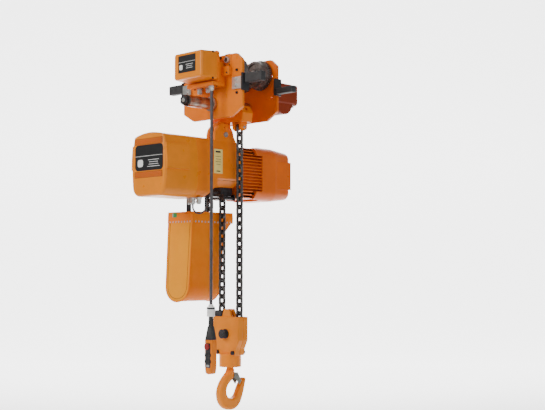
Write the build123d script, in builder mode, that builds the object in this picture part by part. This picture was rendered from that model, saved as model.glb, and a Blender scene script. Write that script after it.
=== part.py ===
from build123d import *
import math
import os

# Electric chain hoist on a motorised beam trolley, with a two-fall chain.
# Millimetres. X runs along the beam, Y across it, Z up. The origin is on the
# rail surface, the top of the beam's lower flange, at the middle of the trolley.

os.makedirs("parts", exist_ok=True)

# Trolley
PLATE_GAP = 194            # between the inner faces of the side plates
PLATE_THICK = 12
PLATE_HALF = 181           # half the plate's length
PLATE_TOP, PLATE_FOOT = 122, -141
PLATE_IN = PLATE_GAP / 2
PLATE_OUT = PLATE_IN + PLATE_THICK
WHEEL_X = 95               # axles each side of the middle
WHEEL_R = 57               # tread
WHEEL_MODULE, WHEEL_TEETH = 3, 41
RIM_R = 64                 # flange of a plain wheel
TREAD_IN, TREAD_OUT, RIM_OUT = 44, 76, 92
AXLE_R = 12.5
SHAFT_R = 19               # suspension shaft
SHAFT_Z = -78
SHAFT_FRONT, SHAFT_REAR = -256, 152
TRAVEL_TEETH = 24          # pinion between the two geared wheels
SPREAD = WHEEL_MODULE * (WHEEL_TEETH + TRAVEL_TEETH) / 2
TRAVEL_Z = WHEEL_R - math.sqrt(SPREAD**2 - WHEEL_X**2)
BOX_FRONT, BOX_BACK = -250, -165
BOX_Z = 68                 # middle of the control box
CABLE_X, CABLE_Y = 62, -170

# Chain
WIRE = 11.2
LINK_HALF = 23.1           # link centre to the middle of its end bow
LINK_WIDE = 12.9           # link centre to the middle of its straight side
LINK_STEP = 34.6           # between the centres of neighbouring links
LOAD_POCKETS, IDLE_POCKETS = 4, 5
LOAD_Z, IDLE_Z = -356, -1048

# Hoist body
BODY_X = (-198, 18)
BODY_TOP, BODY_FOOT = -213, -476
COVER_FRONT, FRAME_FRONT, FRAME_BACK = -382, -205, 50
MOTOR_BACK, FAN_BACK = 240, 371

# Gears in the hoist: motor pinion, clutch gear, countershaft pinion, load gear
FAST_MODULE, FAST_PINION, FAST_GEAR = 1.5, 12, 68
SLOW_MODULE, SLOW_PINION, SLOW_GEAR = 2, 12, 48
GEAR_GAP = FAST_MODULE * (FAST_PINION + FAST_GEAR) / 2

# Bag
BAG_X = (-240, -85)
BAG_Y = (-140, 90)
BAG_RIM, BAG_FOOT = -531, -915

# Hook block
BLOCK_DEEP = 28            # half its depth across the chain
BLOCK_TOP, BLOCK_FOOT = -976, -1188

# Pendant
CABLE_R = 6.5
GLAND_FOOT, CABLE_TOP, CABLE_END = -36, -36.8, -924
PENDANT_TOP, PENDANT_FOOT = -1062, -1203


def across(y):
    """Plane square to Y: sketch x is X, sketch y is Z, and extruding goes towards -Y."""
    return Plane((0, y, 0), x_dir=(1, 0, 0), z_dir=(0, -1, 0))


def sideways(x):
    """Plane square to X: sketch x is Y, sketch y is Z, and extruding goes towards +X."""
    return Plane.YZ.offset(x)


def save(piece, name):
    """Label a finished piece and write it."""
    piece.part.label = name
    export_step(piece.part, f"parts/{name}.step")


def bar(radius, start, end, mode=Mode.ADD, tip=None):
    """Round bar between two points, or a cone where tip gives its end radius."""
    line = Vector(*end) - Vector(*start)
    stand = (Align.CENTER, Align.CENTER, Align.MIN)
    with Locations(Plane(start, z_dir=line)):
        if tip is None:
            Cylinder(radius, line.length, align=stand, mode=mode)
        else:
            Cone(radius, tip, line.length, align=stand, mode=mode)


def block(low, high, mode=Mode.ADD):
    """Square block between two corners."""
    with Locations(tuple(low)):
        Box(*[b - a for a, b in zip(low, high)], align=(Align.MIN,) * 3, mode=mode)


def hexagon(radius, start, end, mode=Mode.ADD):
    """Hexagonal bar, such as a nut or a bolt head; radius is to the corners."""
    line = Vector(*end) - Vector(*start)
    with BuildSketch(Plane(start, z_dir=line)) as flat:
        RegularPolygon(radius, 6)
    extrude(flat.sketch, amount=line.length, mode=mode)


def slab(points, plane, amount, mode=Mode.ADD, rounding=0):
    """Plate with a straight-sided outline, its corners rounded if rounding is given."""
    with BuildSketch(plane) as flat:
        with BuildLine():
            Polyline(*points, close=True)
        make_face()
        if rounding:
            fillet(flat.vertices(), rounding)
    extrude(flat.sketch, amount=amount, mode=mode)


def rounded(width, height, radius, plane, amount, mode=Mode.ADD, taper=0):
    """Block with four rounded corners, and drafted sides where taper is given."""
    with BuildSketch(plane) as flat:
        RectangleRounded(width, height, radius)
    extrude(flat.sketch, amount=amount, taper=taper, mode=mode)


def at(x, y, z):
    """Plane square to Y round a middle at (x, z), extruding towards -Y."""
    return Plane((x, y, z), x_dir=(1, 0, 0), z_dir=(0, -1, 0))


# Gears. A turn is the angle of one tooth's middle, from +X towards +Z.
def gear_points(module, teeth, turn):
    """Outline of a spur gear with 20 degree involute flanks and a little backlash."""
    pitch_r = module * teeth / 2
    base_r = pitch_r * math.cos(math.radians(20))
    root_r, tip_r = pitch_r - 1.25 * module, pitch_r + 0.95 * module
    backlash = 0.12 * module

    def spread(radius):
        lean = math.acos(base_r / max(radius, base_r))
        lean_at_pitch = math.radians(20)
        rolled = math.tan(lean_at_pitch) - lean_at_pitch - math.tan(lean) + lean
        return math.pi / (2 * teeth) - backlash / (2 * pitch_r) + rolled

    radii = [root_r, max(base_r, root_r + 0.1), (max(base_r, root_r) + tip_r) / 2, tip_r]
    points = []
    for tooth in range(teeth):
        middle = turn + 2 * math.pi * tooth / teeth
        rising = [(r, middle - spread(r)) for r in radii]
        falling = [(r, middle + spread(r)) for r in reversed(radii)]
        points += [(r * math.cos(a), r * math.sin(a)) for r, a in rising + falling]
    return points


def gear(module, teeth, turn, x, z, high, low, mode=Mode.ADD):
    """Spur gear at (x, z) between two stations along Y."""
    slab(gear_points(module, teeth, turn), at(x, high, z), high - low, mode=mode)


def meshed(turn, teeth, mate_teeth, direction):
    """Turn of the gear that meshes with one whose own turn is given, lying that way."""
    passed = (direction - turn) * teeth / mate_teeth
    return direction + math.pi + math.pi / mate_teeth + passed


# Chain. A link is placed by its middle and the angle of its length from +X to +Z.
with BuildPart() as one_link:
    straight = LINK_HALF - LINK_WIDE
    with BuildLine():
        Line((straight, LINK_WIDE, 0), (-straight, LINK_WIDE, 0))
        ThreePointArc((-straight, LINK_WIDE, 0), (-LINK_HALF, 0, 0), (-straight, -LINK_WIDE, 0))
        Line((-straight, -LINK_WIDE, 0), (straight, -LINK_WIDE, 0))
        ThreePointArc((straight, -LINK_WIDE, 0), (LINK_HALF, 0, 0), (straight, LINK_WIDE, 0))
    with BuildSketch(Plane((straight, LINK_WIDE, 0), z_dir=(-1, 0, 0))):
        Circle(WIRE / 2)
    sweep()


def links(spots):
    """Add links at (x, z, angle, standing): a standing link lies in the XZ plane."""
    for x, z, angle, standing in spots:
        along = (math.cos(angle), 0, math.sin(angle))
        face = (0, 1, 0) if standing else (-math.sin(angle), 0, math.cos(angle))
        with Locations(Plane((x, 0, z), x_dir=along, z_dir=face)):
            add(one_link.part)


def wheel_radii(pockets):
    """Radii of the lying and the standing links' middles on a pocket wheel."""
    half = math.pi / (2 * pockets)
    lap = 2 * LINK_HALF - LINK_STEP
    corner = math.hypot(LINK_STEP / math.sin(half), lap / math.cos(half)) / 2
    lying = math.sqrt(corner**2 - LINK_HALF**2)
    standing = math.sqrt(corner**2 - (LINK_STEP - LINK_HALF) ** 2)
    return lying, standing


LOAD_LYING, LOAD_STANDING = wheel_radii(LOAD_POCKETS)
IDLE_LYING, IDLE_STANDING = wheel_radii(IDLE_POCKETS)
LEFT_X, RIGHT_X = -IDLE_LYING, IDLE_STANDING
LOAD_X = LEFT_X - LOAD_LYING
SLACK_X = LOAD_X - LOAD_LYING
UP = math.pi / 2
ANCHOR_LINK = 25           # the right fall's last link
ANCHOR_Z = IDLE_Z + ANCHOR_LINK * LINK_STEP


def pocket_wheel(pockets, lying, standing, x, z, rim, turn):
    """Chain wheel: a prism that the lying links rest on, grooved for the others."""
    flat = lying - WIRE / 2 - 0.4
    with BuildSketch(at(x, 19.5, z)) as core:
        RegularPolygon(flat, pockets, major_radius=False, rotation=turn)
    extrude(core.sketch, amount=39)
    for high, low in ((22, 19.5), (-19.5, -22)):
        bar(rim, (x, high, z), (x, low, z))
    groove_r = standing - LINK_WIDE - WIRE / 2 - 0.6
    with BuildSketch(at(x, 6.3, z)) as groove:
        Circle(rim + 5)
        Circle(groove_r, mode=Mode.SUBTRACT)
    extrude(groove.sketch, amount=12.6, mode=Mode.SUBTRACT)


# ---------------------------------------------------------------- trolley
PLATE_POINTS = [(-PLATE_HALF, -106), (-119, PLATE_FOOT), (119, PLATE_FOOT), (PLATE_HALF, -106),
                (PLATE_HALF, 92), (146, PLATE_TOP), (-146, PLATE_TOP), (-PLATE_HALF, 92)]
ARM_X, ARM_Z, ARM_SPREAD, ARM_HOLE_R = 150, 2.5, 95, 6.6


def side_plate(outer, inner):
    """One side plate between two stations along Y, with its axle and shaft holes."""
    slab(PLATE_POINTS, across(max(outer, inner)), PLATE_THICK, rounding=12)
    for x in (-WHEEL_X, WHEEL_X):
        bar(10.1, (x, -300, WHEEL_R), (x, 300, WHEEL_R), mode=Mode.SUBTRACT)
    bar(SHAFT_R + 0.1, (0, -300, SHAFT_Z), (0, 300, SHAFT_Z), mode=Mode.SUBTRACT)
    for x in (-ARM_X, ARM_X):
        for z in (ARM_Z - ARM_SPREAD / 2, ARM_Z + ARM_SPREAD / 2):
            bar(ARM_HOLE_R, (x, -300, z), (x, 300, z), mode=Mode.SUBTRACT)


with BuildPart() as front_side_plate:
    side_plate(-PLATE_OUT, -PLATE_IN)
save(front_side_plate, "front_side_plate")

with BuildPart() as rear_side_plate:
    side_plate(PLATE_OUT, PLATE_IN)
    bar(20, (0, 50, TRAVEL_Z), (0, 150, TRAVEL_Z), mode=Mode.SUBTRACT)
save(rear_side_plate, "rear_side_plate")

with BuildPart() as suspension_shaft:
    bar(SHAFT_R, (0, SHAFT_FRONT, SHAFT_Z), (0, SHAFT_REAR, SHAFT_Z))
    bar(9, (0, SHAFT_FRONT - 18, SHAFT_Z), (0, SHAFT_FRONT, SHAFT_Z))
    bar(9, (0, SHAFT_REAR, SHAFT_Z), (0, SHAFT_REAR + 18, SHAFT_Z))
    rims = suspension_shaft.edges().filter_by(GeomType.CIRCLE).sort_by(Axis.Y)
    chamfer([rims[0], rims[-1]], 1)
save(suspension_shaft, "suspension_shaft")

YOKE_HALF = 30             # half the yoke's width along the shaft
SPACER_THICK = 11.2


def spacer(radius, low, high):
    """Washer on the suspension shaft."""
    bar(radius, (0, low, SHAFT_Z), (0, high, SHAFT_Z))
    bar(SHAFT_R + 0.1, (0, low, SHAFT_Z), (0, high, SHAFT_Z), mode=Mode.SUBTRACT)


with BuildPart() as shaft_spacers:
    spacer(31, -PLATE_OUT - 14.2, -PLATE_OUT - 0.2)
    spacer(31, PLATE_OUT + 0.2, PLATE_OUT + 8.2)
    for count, low in ((11, -PLATE_OUT - 14.7 - 11 * (SPACER_THICK + 0.3)), (2, PLATE_OUT + 8.6)):
        for n in range(count):
            y = low + n * (SPACER_THICK + 0.3)
            spacer(24.5, y, y + SPACER_THICK)
    gap = (PLATE_IN - YOKE_HALF - 1.5) / 4
    for side in (-1, 1):
        for n in range(4):
            near = side * (YOKE_HALF + 0.8 + n * gap)
            far = near + side * (gap - 0.3)
            spacer(28, min(near, far), max(near, far))
save(shaft_spacers, "shaft_spacers")

CORNERS = [(x, side) for x in (-WHEEL_X, WHEEL_X) for side in (-1, 1)]

with BuildPart() as wheel_axles:
    for x, side in CORNERS:
        bar(AXLE_R, (x, side * 42, WHEEL_R), (x, side * 93, WHEEL_R))
        bar(18, (x, side * 93, WHEEL_R), (x, side * (PLATE_IN - 0.1), WHEEL_R))
        bar(17, (x, side * 39, WHEEL_R), (x, side * 42, WHEEL_R))
        bar(10, (x, side * (PLATE_IN - 0.1), WHEEL_R), (x, side * (PLATE_OUT + 16), WHEEL_R))
save(wheel_axles, "wheel_axles")


def nut(x, y, z, way, washer, thread, thick):
    """Washer and hexagon nut on a threaded end, standing out from y towards way."""
    bar(washer, (x, y, z), (x, y + way * 3, z))
    hexagon(washer - 1, (x, y + way * 3, z), (x, y + way * (3 + thick), z))
    bar(thread + 0.05, (x, y - way, z), (x, y + way * (5 + thick), z), mode=Mode.SUBTRACT)


with BuildPart() as trolley_nuts:
    nut(0, SHAFT_FRONT - 0.2, SHAFT_Z, -1, 23, 9, 12)
    nut(0, SHAFT_REAR + 0.2, SHAFT_Z, 1, 23, 9, 12)
    for x, side in CORNERS:
        nut(x, side * (PLATE_OUT + 0.1), WHEEL_R, side, 16.5, 10, 10)
save(trolley_nuts, "trolley_nuts")


def wheel(x, side, turn=None):
    """Trolley wheel, geared round its flange where a turn is given."""
    bar(WHEEL_R, (x, side * TREAD_IN, WHEEL_R), (x, side * TREAD_OUT, WHEEL_R))
    if turn is None:
        bar(RIM_R, (x, side * TREAD_OUT, WHEEL_R), (x, side * RIM_OUT, WHEEL_R))
    else:
        ends = sorted((side * TREAD_OUT, side * RIM_OUT))
        gear(WHEEL_MODULE, WHEEL_TEETH, turn, x, WHEEL_R, ends[1], ends[0])
    for start, end, radii in ((RIM_OUT, RIM_OUT - 10, (24, 50)), (TREAD_IN, TREAD_IN + 8, (24, 48))):
        ends = sorted((side * start, side * end))
        with BuildSketch(at(x, ends[1], WHEEL_R)) as ring:
            Circle(radii[1])
            Circle(radii[0], mode=Mode.SUBTRACT)
        extrude(ring.sketch, amount=ends[1] - ends[0], mode=Mode.SUBTRACT)
    bar(AXLE_R + 0.05, (x, side * 30, WHEEL_R), (x, side * 95, WHEEL_R), mode=Mode.SUBTRACT)


FROM_RIGHT = math.atan2(TRAVEL_Z - WHEEL_R, -WHEEL_X)
TO_LEFT = math.atan2(WHEEL_R - TRAVEL_Z, -WHEEL_X)
PINION_TURN = meshed(0, WHEEL_TEETH, TRAVEL_TEETH, FROM_RIGHT)
LEFT_TURN = meshed(PINION_TURN, TRAVEL_TEETH, WHEEL_TEETH, TO_LEFT)

with BuildPart() as wheel_front_left:
    wheel(-WHEEL_X, -1)
save(wheel_front_left, "wheel_front_left")

with BuildPart() as wheel_front_right:
    wheel(WHEEL_X, -1)
save(wheel_front_right, "wheel_front_right")

with BuildPart() as wheel_rear_left:
    wheel(-WHEEL_X, 1, LEFT_TURN)
save(wheel_rear_left, "wheel_rear_left")

with BuildPart() as wheel_rear_right:
    wheel(WHEEL_X, 1, 0)
save(wheel_rear_right, "wheel_rear_right")

# Travel drive on the rear plate: motor pinion, wheel on the output shaft, output pinion
DRIVE_MODULE, DRIVE_PINION, DRIVE_GEAR = 1.25, 13, 46
DRIVE_GAP = DRIVE_MODULE * (DRIVE_PINION + DRIVE_GEAR) / 2
ROTOR_Z = TRAVEL_Z - DRIVE_GAP
DRIVE_BACK, DRIVE_CASE = 358, 165

with BuildPart() as travel_pinion:
    gear(WHEEL_MODULE, TRAVEL_TEETH, PINION_TURN, 0, TRAVEL_Z, RIM_OUT + 1, TREAD_OUT - 1)
    bar(12, (0, 93, TRAVEL_Z), (0, 122, TRAVEL_Z))
    gear(DRIVE_MODULE, DRIVE_GEAR, 0, 0, TRAVEL_Z, 136, 122)
    bar(8, (0, 136, TRAVEL_Z), (0, 150, TRAVEL_Z))
save(travel_pinion, "travel_pinion")

with BuildPart() as travel_rotor:
    gear(DRIVE_MODULE, DRIVE_PINION, meshed(0, DRIVE_GEAR, DRIVE_PINION, -UP), 0, ROTOR_Z, 138, 120)
    bar(6, (0, 138, ROTOR_Z), (0, 330, ROTOR_Z))
    bar(26, (0, 200, ROTOR_Z), (0, 290, ROTOR_Z))
save(travel_rotor, "travel_rotor")

with BuildPart() as travel_gear_case:
    low, high = PLATE_OUT + 0.1, DRIVE_CASE
    case = [(-62, 84), (-62, -16), (-40, -44), (40, -44), (62, -16), (62, 84)]
    slab(case, across(high), high - low, rounding=12)
    hollow = [(-55, 77), (-55, -14), (-36, -37), (36, -37), (55, -14), (55, 77)]
    slab(hollow, across(high - 8), high - low - 16, mode=Mode.SUBTRACT, rounding=8)
    bar(12.06, (0, low - 1, TRAVEL_Z), (0, low + 9, TRAVEL_Z), mode=Mode.SUBTRACT)
    bar(15, (0, 138.5, TRAVEL_Z), (0, 158, TRAVEL_Z))
    bar(8.06, (0, 138, TRAVEL_Z), (0, 150.5, TRAVEL_Z), mode=Mode.SUBTRACT)
    bar(6.06, (0, 150, ROTOR_Z), (0, high + 1, ROTOR_Z), mode=Mode.SUBTRACT)
save(travel_gear_case, "travel_gear_case")

with BuildPart() as travel_motor_cover:
    rounded(124, 94, 14, at(0, DRIVE_BACK, 8), DRIVE_BACK - DRIVE_CASE - 0.1)
    bar(52, (-44, 276, -33), (58, 276, -33))
    rounded(114, 84, 10, at(0, DRIVE_BACK - 6, 8), DRIVE_BACK - DRIVE_CASE - 5, mode=Mode.SUBTRACT)
    bar(11, (0, 318, ROTOR_Z), (0, DRIVE_BACK - 5, ROTOR_Z))
    bar(6.06, (0, 316, ROTOR_Z), (0, 331, ROTOR_Z), mode=Mode.SUBTRACT)
save(travel_motor_cover, "travel_motor_cover")

# Control box on the front plate
with BuildPart() as control_box_base:
    block((-77, BOX_BACK + 8, 1), (77, -PLATE_OUT - 0.1, 88))
    block((-70, BOX_BACK + 2, 8), (70, -PLATE_OUT - 8, 81), mode=Mode.SUBTRACT)
    rounded(190, 128, 12, at(0, BOX_BACK + 8, BOX_Z), 8)
    block((-60, BOX_BACK - 1, 20), (60, BOX_BACK + 20, 70), mode=Mode.SUBTRACT)
    block((-74, CABLE_Y - 16, -14), (86, -118, 1))
    block((-68, CABLE_Y - 10, -9), (80, -124, -4), mode=Mode.SUBTRACT)
    bar(7, (CABLE_X, CABLE_Y, -20), (CABLE_X, CABLE_Y, -8), mode=Mode.SUBTRACT)
save(control_box_base, "control_box_base")

with BuildPart() as control_box_cover:
    depth = BOX_BACK - BOX_FRONT
    rounded(182, 122, 16, at(0, BOX_BACK - 0.1, BOX_Z + 2), depth, taper=4)
    fillet(control_box_cover.faces().sort_by(Axis.Y)[0].edges(), 9)
    rounded(174, 114, 12, at(0, BOX_BACK - 0.1, BOX_Z + 2), depth - 5, taper=4, mode=Mode.SUBTRACT)
save(control_box_cover, "control_box_cover")


def gland(x, y, top, foot):
    """Cable gland: hexagon, body and dome nut."""
    drop = top - foot
    hexagon(13, (x, y, top), (x, y, top - 0.35 * drop))
    bar(9.5, (x, y, top - 0.35 * drop), (x, y, top - 0.5 * drop))
    hexagon(12, (x, y, top - 0.5 * drop), (x, y, top - 0.8 * drop))
    bar(10, (x, y, top - 0.8 * drop), (x, y, foot), tip=8)


with BuildPart() as trolley_glands:
    gland(CABLE_X, CABLE_Y, -14.1, GLAND_FOOT)
    gland(-30, -152, -14.1, -38)
    gland(10, -140, -14.1, -34)
save(trolley_glands, "trolley_glands")

# Bumpers: rubber blocks at the ends of the plates, on brackets, clear of the beam's flange
BUMPER_IN = 77
with BuildPart() as bumper_brackets:
    for way in (-1, 1):
        for side in (-1, 1):
            xs = sorted((way * 128, way * 180))
            ys = sorted((side * (PLATE_OUT + 0.1), side * (PLATE_OUT + 8)))
            block((xs[0], ys[0], -30), (xs[1], ys[1], 20))
            xs = sorted((way * (PLATE_HALF + 0.5), way * (PLATE_HALF + 8)))
            ys = sorted((side * BUMPER_IN, side * (PLATE_OUT + 8)))
            block((xs[0], ys[0], -38), (xs[1], ys[1], 34))
            xs = sorted((way * 178, way * (PLATE_HALF + 1)))
            ys = sorted((side * (PLATE_OUT + 0.3), side * (PLATE_OUT + 8)))
            block((xs[0], ys[0], -30), (xs[1], ys[1], 20))
            for z in (ARM_Z - ARM_SPREAD / 2, ARM_Z + ARM_SPREAD / 2):
                bar(9, (way * ARM_X, side * 100, z), (way * ARM_X, side * 130, z), mode=Mode.SUBTRACT)
save(bumper_brackets, "bumper_brackets")

with BuildPart() as bumpers:
    for way in (-1, 1):
        for side in (-1, 1):
            xs = sorted((way * (PLATE_HALF + 8.2), way * 286))
            ys = sorted((side * BUMPER_IN, side * (BUMPER_IN + 29)))
            low, high = (-34, -7) if side > 0 else (-8, 32)
            block((xs[0], ys[0], low), (xs[1], ys[1], high))
    fillet(bumpers.edges(), 5)
save(bumpers, "bumpers")

# ---------------------------------------------------------------- suspension
EAR_PIN_Z, EAR_Y = -201, -36
EAR_LEFT, EAR_RIGHT = -50, -9      # the frame's two ears, each 14 thick from here on
with BuildPart() as suspension_yoke:
    bar(34, (0, YOKE_HALF, SHAFT_Z), (0, -YOKE_HALF, SHAFT_Z))
    block((-30, -YOKE_HALF, -150), (30, YOKE_HALF, SHAFT_Z))
    yoke = [(-98, -112), (-20, -104), (20, -104), (88, -82), (104, -112), (98, -150), (-78, -150)]
    slab(yoke, across(YOKE_HALF), 2 * YOKE_HALF)
    bar(SHAFT_R + 0.05, (0, -50, SHAFT_Z), (0, 50, SHAFT_Z), mode=Mode.SUBTRACT)
    for x in (RIGHT_X - 27, RIGHT_X + 13):
        lobe = [(-20, -145), (20, -145), (16, -180), (0, -187), (-16, -180)]
        slab(lobe, sideways(x), 14, rounding=6)
    ear = [(-72, -145), (10, -145), (2, -212), (-66, -212)]
    slab(ear, sideways(EAR_LEFT + 15.5), EAR_RIGHT - EAR_LEFT - 17, rounding=10)
    bar(6.05, (RIGHT_X - 40, 0, ANCHOR_Z + 11.2), (RIGHT_X + 40, 0, ANCHOR_Z + 11.2), mode=Mode.SUBTRACT)
    bar(9.05, (-90, EAR_Y, EAR_PIN_Z), (0, EAR_Y, EAR_PIN_Z), mode=Mode.SUBTRACT)
    bar(7, (80, 0, -96), (110, 0, -96), mode=Mode.SUBTRACT)
save(suspension_yoke, "suspension_yoke")

with BuildPart() as suspension_pins:
    bar(6, (RIGHT_X - 30, 0, ANCHOR_Z + 11.2), (RIGHT_X + 30, 0, ANCHOR_Z + 11.2))
    bar(9, (EAR_LEFT - 1, EAR_Y, EAR_PIN_Z), (EAR_RIGHT + 14.5, EAR_Y, EAR_PIN_Z))
    bar(11.5, (EAR_RIGHT + 14.5, EAR_Y, EAR_PIN_Z), (EAR_RIGHT + 19, EAR_Y, EAR_PIN_Z))
    bar(11.5, (EAR_LEFT - 5, EAR_Y, EAR_PIN_Z), (EAR_LEFT - 1, EAR_Y, EAR_PIN_Z))
save(suspension_pins, "suspension_pins")

# ---------------------------------------------------------------- hoist body
BODY_MIDDLE = (BODY_X[0] + BODY_X[1]) / 2
DEEP_BACK, SHALLOW_FOOT = -150, -425


def body_section(y, grow=0.0, lower=34, upper=14):
    """Cross-section of the body: arched top, bulging sides, rounded corners."""
    left, right = BODY_X[0] - grow, BODY_X[1] + grow
    top, foot = BODY_TOP + grow, BODY_FOOT - grow
    with BuildSketch(across(y)) as section:
        with BuildLine():
            ThreePointArc((left + 14, top - 15), (BODY_MIDDLE, top), (right - 14, top - 15))
            ThreePointArc((right - 14, top - 15), (right, LOAD_Z + 12), (right - 11, foot))
            Line((right - 11, foot), (left + 11, foot))
            ThreePointArc((left + 11, foot), (left, LOAD_Z + 12), (left + 14, top - 15))
        make_face()
        fillet(section.vertices().sort_by(Axis.Y)[:2], lower)
        fillet(section.vertices().sort_by(Axis.Y)[-2:], upper)
    return section.sketch


def past_the_end(inset):
    """Take away what lies past the frame's rounded rear end, drawn in by inset."""
    high, middle, low = 14 - inset, FRAME_BACK - inset, 34 - inset
    with BuildSketch(sideways(-230)) as outside:
        with BuildLine():
            ThreePointArc((high, -205), (middle, -335), (low, SHALLOW_FOOT - 5))
            Polyline((low, SHALLOW_FOOT - 5), (90, SHALLOW_FOOT - 5), (90, -205), (high, -205))
        make_face()
    extrude(outside.sketch, amount=280, mode=Mode.SUBTRACT)


def chamber(y, length):
    """Block of room in the shallow part of the frame, from y towards -Y."""
    floor = SHALLOW_FOOT + 8
    corners = [(-260, -180), (60, -180), (60, floor + 56), (-18, floor), (-260, floor)]
    with BuildSketch(across(y)) as hollow:
        add(body_section(y, -8, 26, 8))
        with BuildSketch(mode=Mode.INTERSECT):
            with BuildLine():
                Polyline(*corners, close=True)
            make_face()
    extrude(hollow.sketch, amount=length)


with BuildPart() as sheave_room:
    chamber(FRAME_BACK - 8, FRAME_BACK + 54)
    past_the_end(8)

with BuildPart() as gear_room:
    chamber(-70, 68)

with BuildPart() as hoist_frame:
    extrude(body_section(FRAME_BACK), amount=FRAME_BACK - FRAME_FRONT)
    step = [(FRAME_BACK + 1, -500), (FRAME_BACK + 1, SHALLOW_FOOT), (-100, SHALLOW_FOOT),
            (DEEP_BACK, BODY_FOOT + 4), (DEEP_BACK, -500)]
    slab(step, sideways(-230), 280, mode=Mode.SUBTRACT)
    bevel = [(60, -352), (-22, SHALLOW_FOOT), (-22, -470), (60, -470)]
    slab(bevel, across(FRAME_BACK + 1), FRAME_BACK + 1 + 92, mode=Mode.SUBTRACT)
    deep = DEEP_BACK - 4
    extrude(body_section(deep, -8, 26, 8), amount=deep - FRAME_FRONT + 1, mode=Mode.SUBTRACT)
    past_the_end(0)
    add(gear_room.part, mode=Mode.SUBTRACT)
    for x in (EAR_LEFT, EAR_RIGHT):
        with BuildSketch(sideways(x)) as ear:
            with BuildLine():
                Line((-96, -235), (-96, -205))
                ThreePointArc((-96, -205), (-42, -154), (12, -205))
                Line((12, -205), (30, -235))
                Line((30, -235), (-96, -235))
            make_face()
        extrude(ear.sketch, amount=14)
        bar(4, (x - 1, -42, -171), (x + 15, -42, -171), mode=Mode.SUBTRACT)
    add(sheave_room.part, mode=Mode.SUBTRACT)
    bar(9.05, (-110, EAR_Y, EAR_PIN_Z), (20, EAR_Y, EAR_PIN_Z), mode=Mode.SUBTRACT)
    for x in (LEFT_X, SLACK_X):
        block((x - 19.5, -21, -440), (x + 19.5, 21, -400), mode=Mode.SUBTRACT)
    bar(22.06, (LOAD_X, -60, LOAD_Z), (LOAD_X, -72, LOAD_Z), mode=Mode.SUBTRACT)
    bar(22.06, (LOAD_X, 30, LOAD_Z), (LOAD_X, FRAME_BACK + 5, LOAD_Z), mode=Mode.SUBTRACT)
    bar(6.56, (LOAD_X, -136, LOAD_Z), (LOAD_X, -160, LOAD_Z), mode=Mode.SUBTRACT)
    bar(8.06, (LOAD_X, -60, LOAD_Z + GEAR_GAP), (LOAD_X, -146, LOAD_Z + GEAR_GAP), mode=Mode.SUBTRACT)
save(hoist_frame, "hoist_frame")

# The control cover: a deep hood with raised bands on its sides and louvres in front
BAND = (-264, -366)
with BuildPart() as control_cover:
    depth = FRAME_FRONT - COVER_FRONT - 0.1
    back = FRAME_FRONT - 0.1
    extrude(body_section(back, 0, 40, 14), amount=depth)
    fillet(control_cover.faces().sort_by(Axis.Y)[0].edges(), 11)
    with BuildSketch(across(FRAME_FRONT - 52)) as band:
        add(body_section(FRAME_FRONT - 52, 7, 40, 14))
        with Locations((BODY_MIDDLE, (BAND[0] + BAND[1]) / 2)):
            Rectangle(300, BAND[0] - BAND[1], mode=Mode.INTERSECT)
    extrude(band.sketch, amount=depth - 58)
    extrude(body_section(back, -5, 36, 10), amount=depth - 5, mode=Mode.SUBTRACT)
    for low in (-262, -398):
        for n in range(15):
            x = -172 + n * 10.4
            rib = [(x, low), (x + 4, low), (x + 20, low + 22), (x + 16, low + 22)]
            slab(rib, across(COVER_FRONT + 1.6), 3, mode=Mode.SUBTRACT)
save(control_cover, "control_cover")

with BuildPart() as contactor_panel:
    block((-172, FRAME_FRONT + 2, -452), (-8, FRAME_FRONT + 5, -236))
    for n in range(3):
        block((-166 + 54 * n, FRAME_FRONT - 74, -330), (-118 + 54 * n, FRAME_FRONT + 2, -250))
    block((-160, FRAME_FRONT - 92, -440), (-92, FRAME_FRONT + 2, -350))
    for n in range(9):
        block((-84 + 8 * n, FRAME_FRONT - 24, -440), (-77.5 + 8 * n, FRAME_FRONT + 2, -412))
save(contactor_panel, "contactor_panel")

# Motor
FIN_BACK, STATOR = 180, (80, 190)
LOBE_FRONT = 142           # where the fan cover's corner lobes reach over the fins
LOBES = [(LOAD_X + x, LOAD_Z + z) for x in (-96, 96) for z in (-97, 97)]
MOTOR_Z = LOAD_Z


def motor_at(y):
    return at(LOAD_X, y, MOTOR_Z)


with BuildPart() as motor_housing:
    with BuildSketch(motor_at(FIN_BACK)) as finned:
        RectangleRounded(176, 200, 70)
        for n in range(17):
            with Locations((0, (n - 8) * 13.6)):
                Rectangle(220, 4)
        RectangleRounded(208, 234, 50, mode=Mode.INTERSECT)
    extrude(finned.sketch, amount=FIN_BACK - FRAME_BACK - 0.1)
    rounded(208, 234, 50, motor_at(FRAME_BACK + 10), 9.9)
    bar(86, (LOAD_X, FIN_BACK, MOTOR_Z), (LOAD_X, MOTOR_BACK, MOTOR_Z))
    bar(80, (LOAD_X, FRAME_BACK + 12, MOTOR_Z), (LOAD_X, MOTOR_BACK - 8, MOTOR_Z), mode=Mode.SUBTRACT)
    bar(22.06, (LOAD_X, FRAME_BACK - 1, MOTOR_Z), (LOAD_X, FRAME_BACK + 13, MOTOR_Z), mode=Mode.SUBTRACT)
    bar(6.56, (LOAD_X, MOTOR_BACK - 9, MOTOR_Z), (LOAD_X, MOTOR_BACK + 1, MOTOR_Z), mode=Mode.SUBTRACT)
    block((LOAD_X - 110, 60, -420), (LOAD_X - 100, 140, -330))
    for x, z in LOBES:
        block((x - 17, LOBE_FRONT - 16, z - 19), (x + 17, FIN_BACK + 1, z + 19), mode=Mode.SUBTRACT)
save(motor_housing, "motor_housing")

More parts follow.
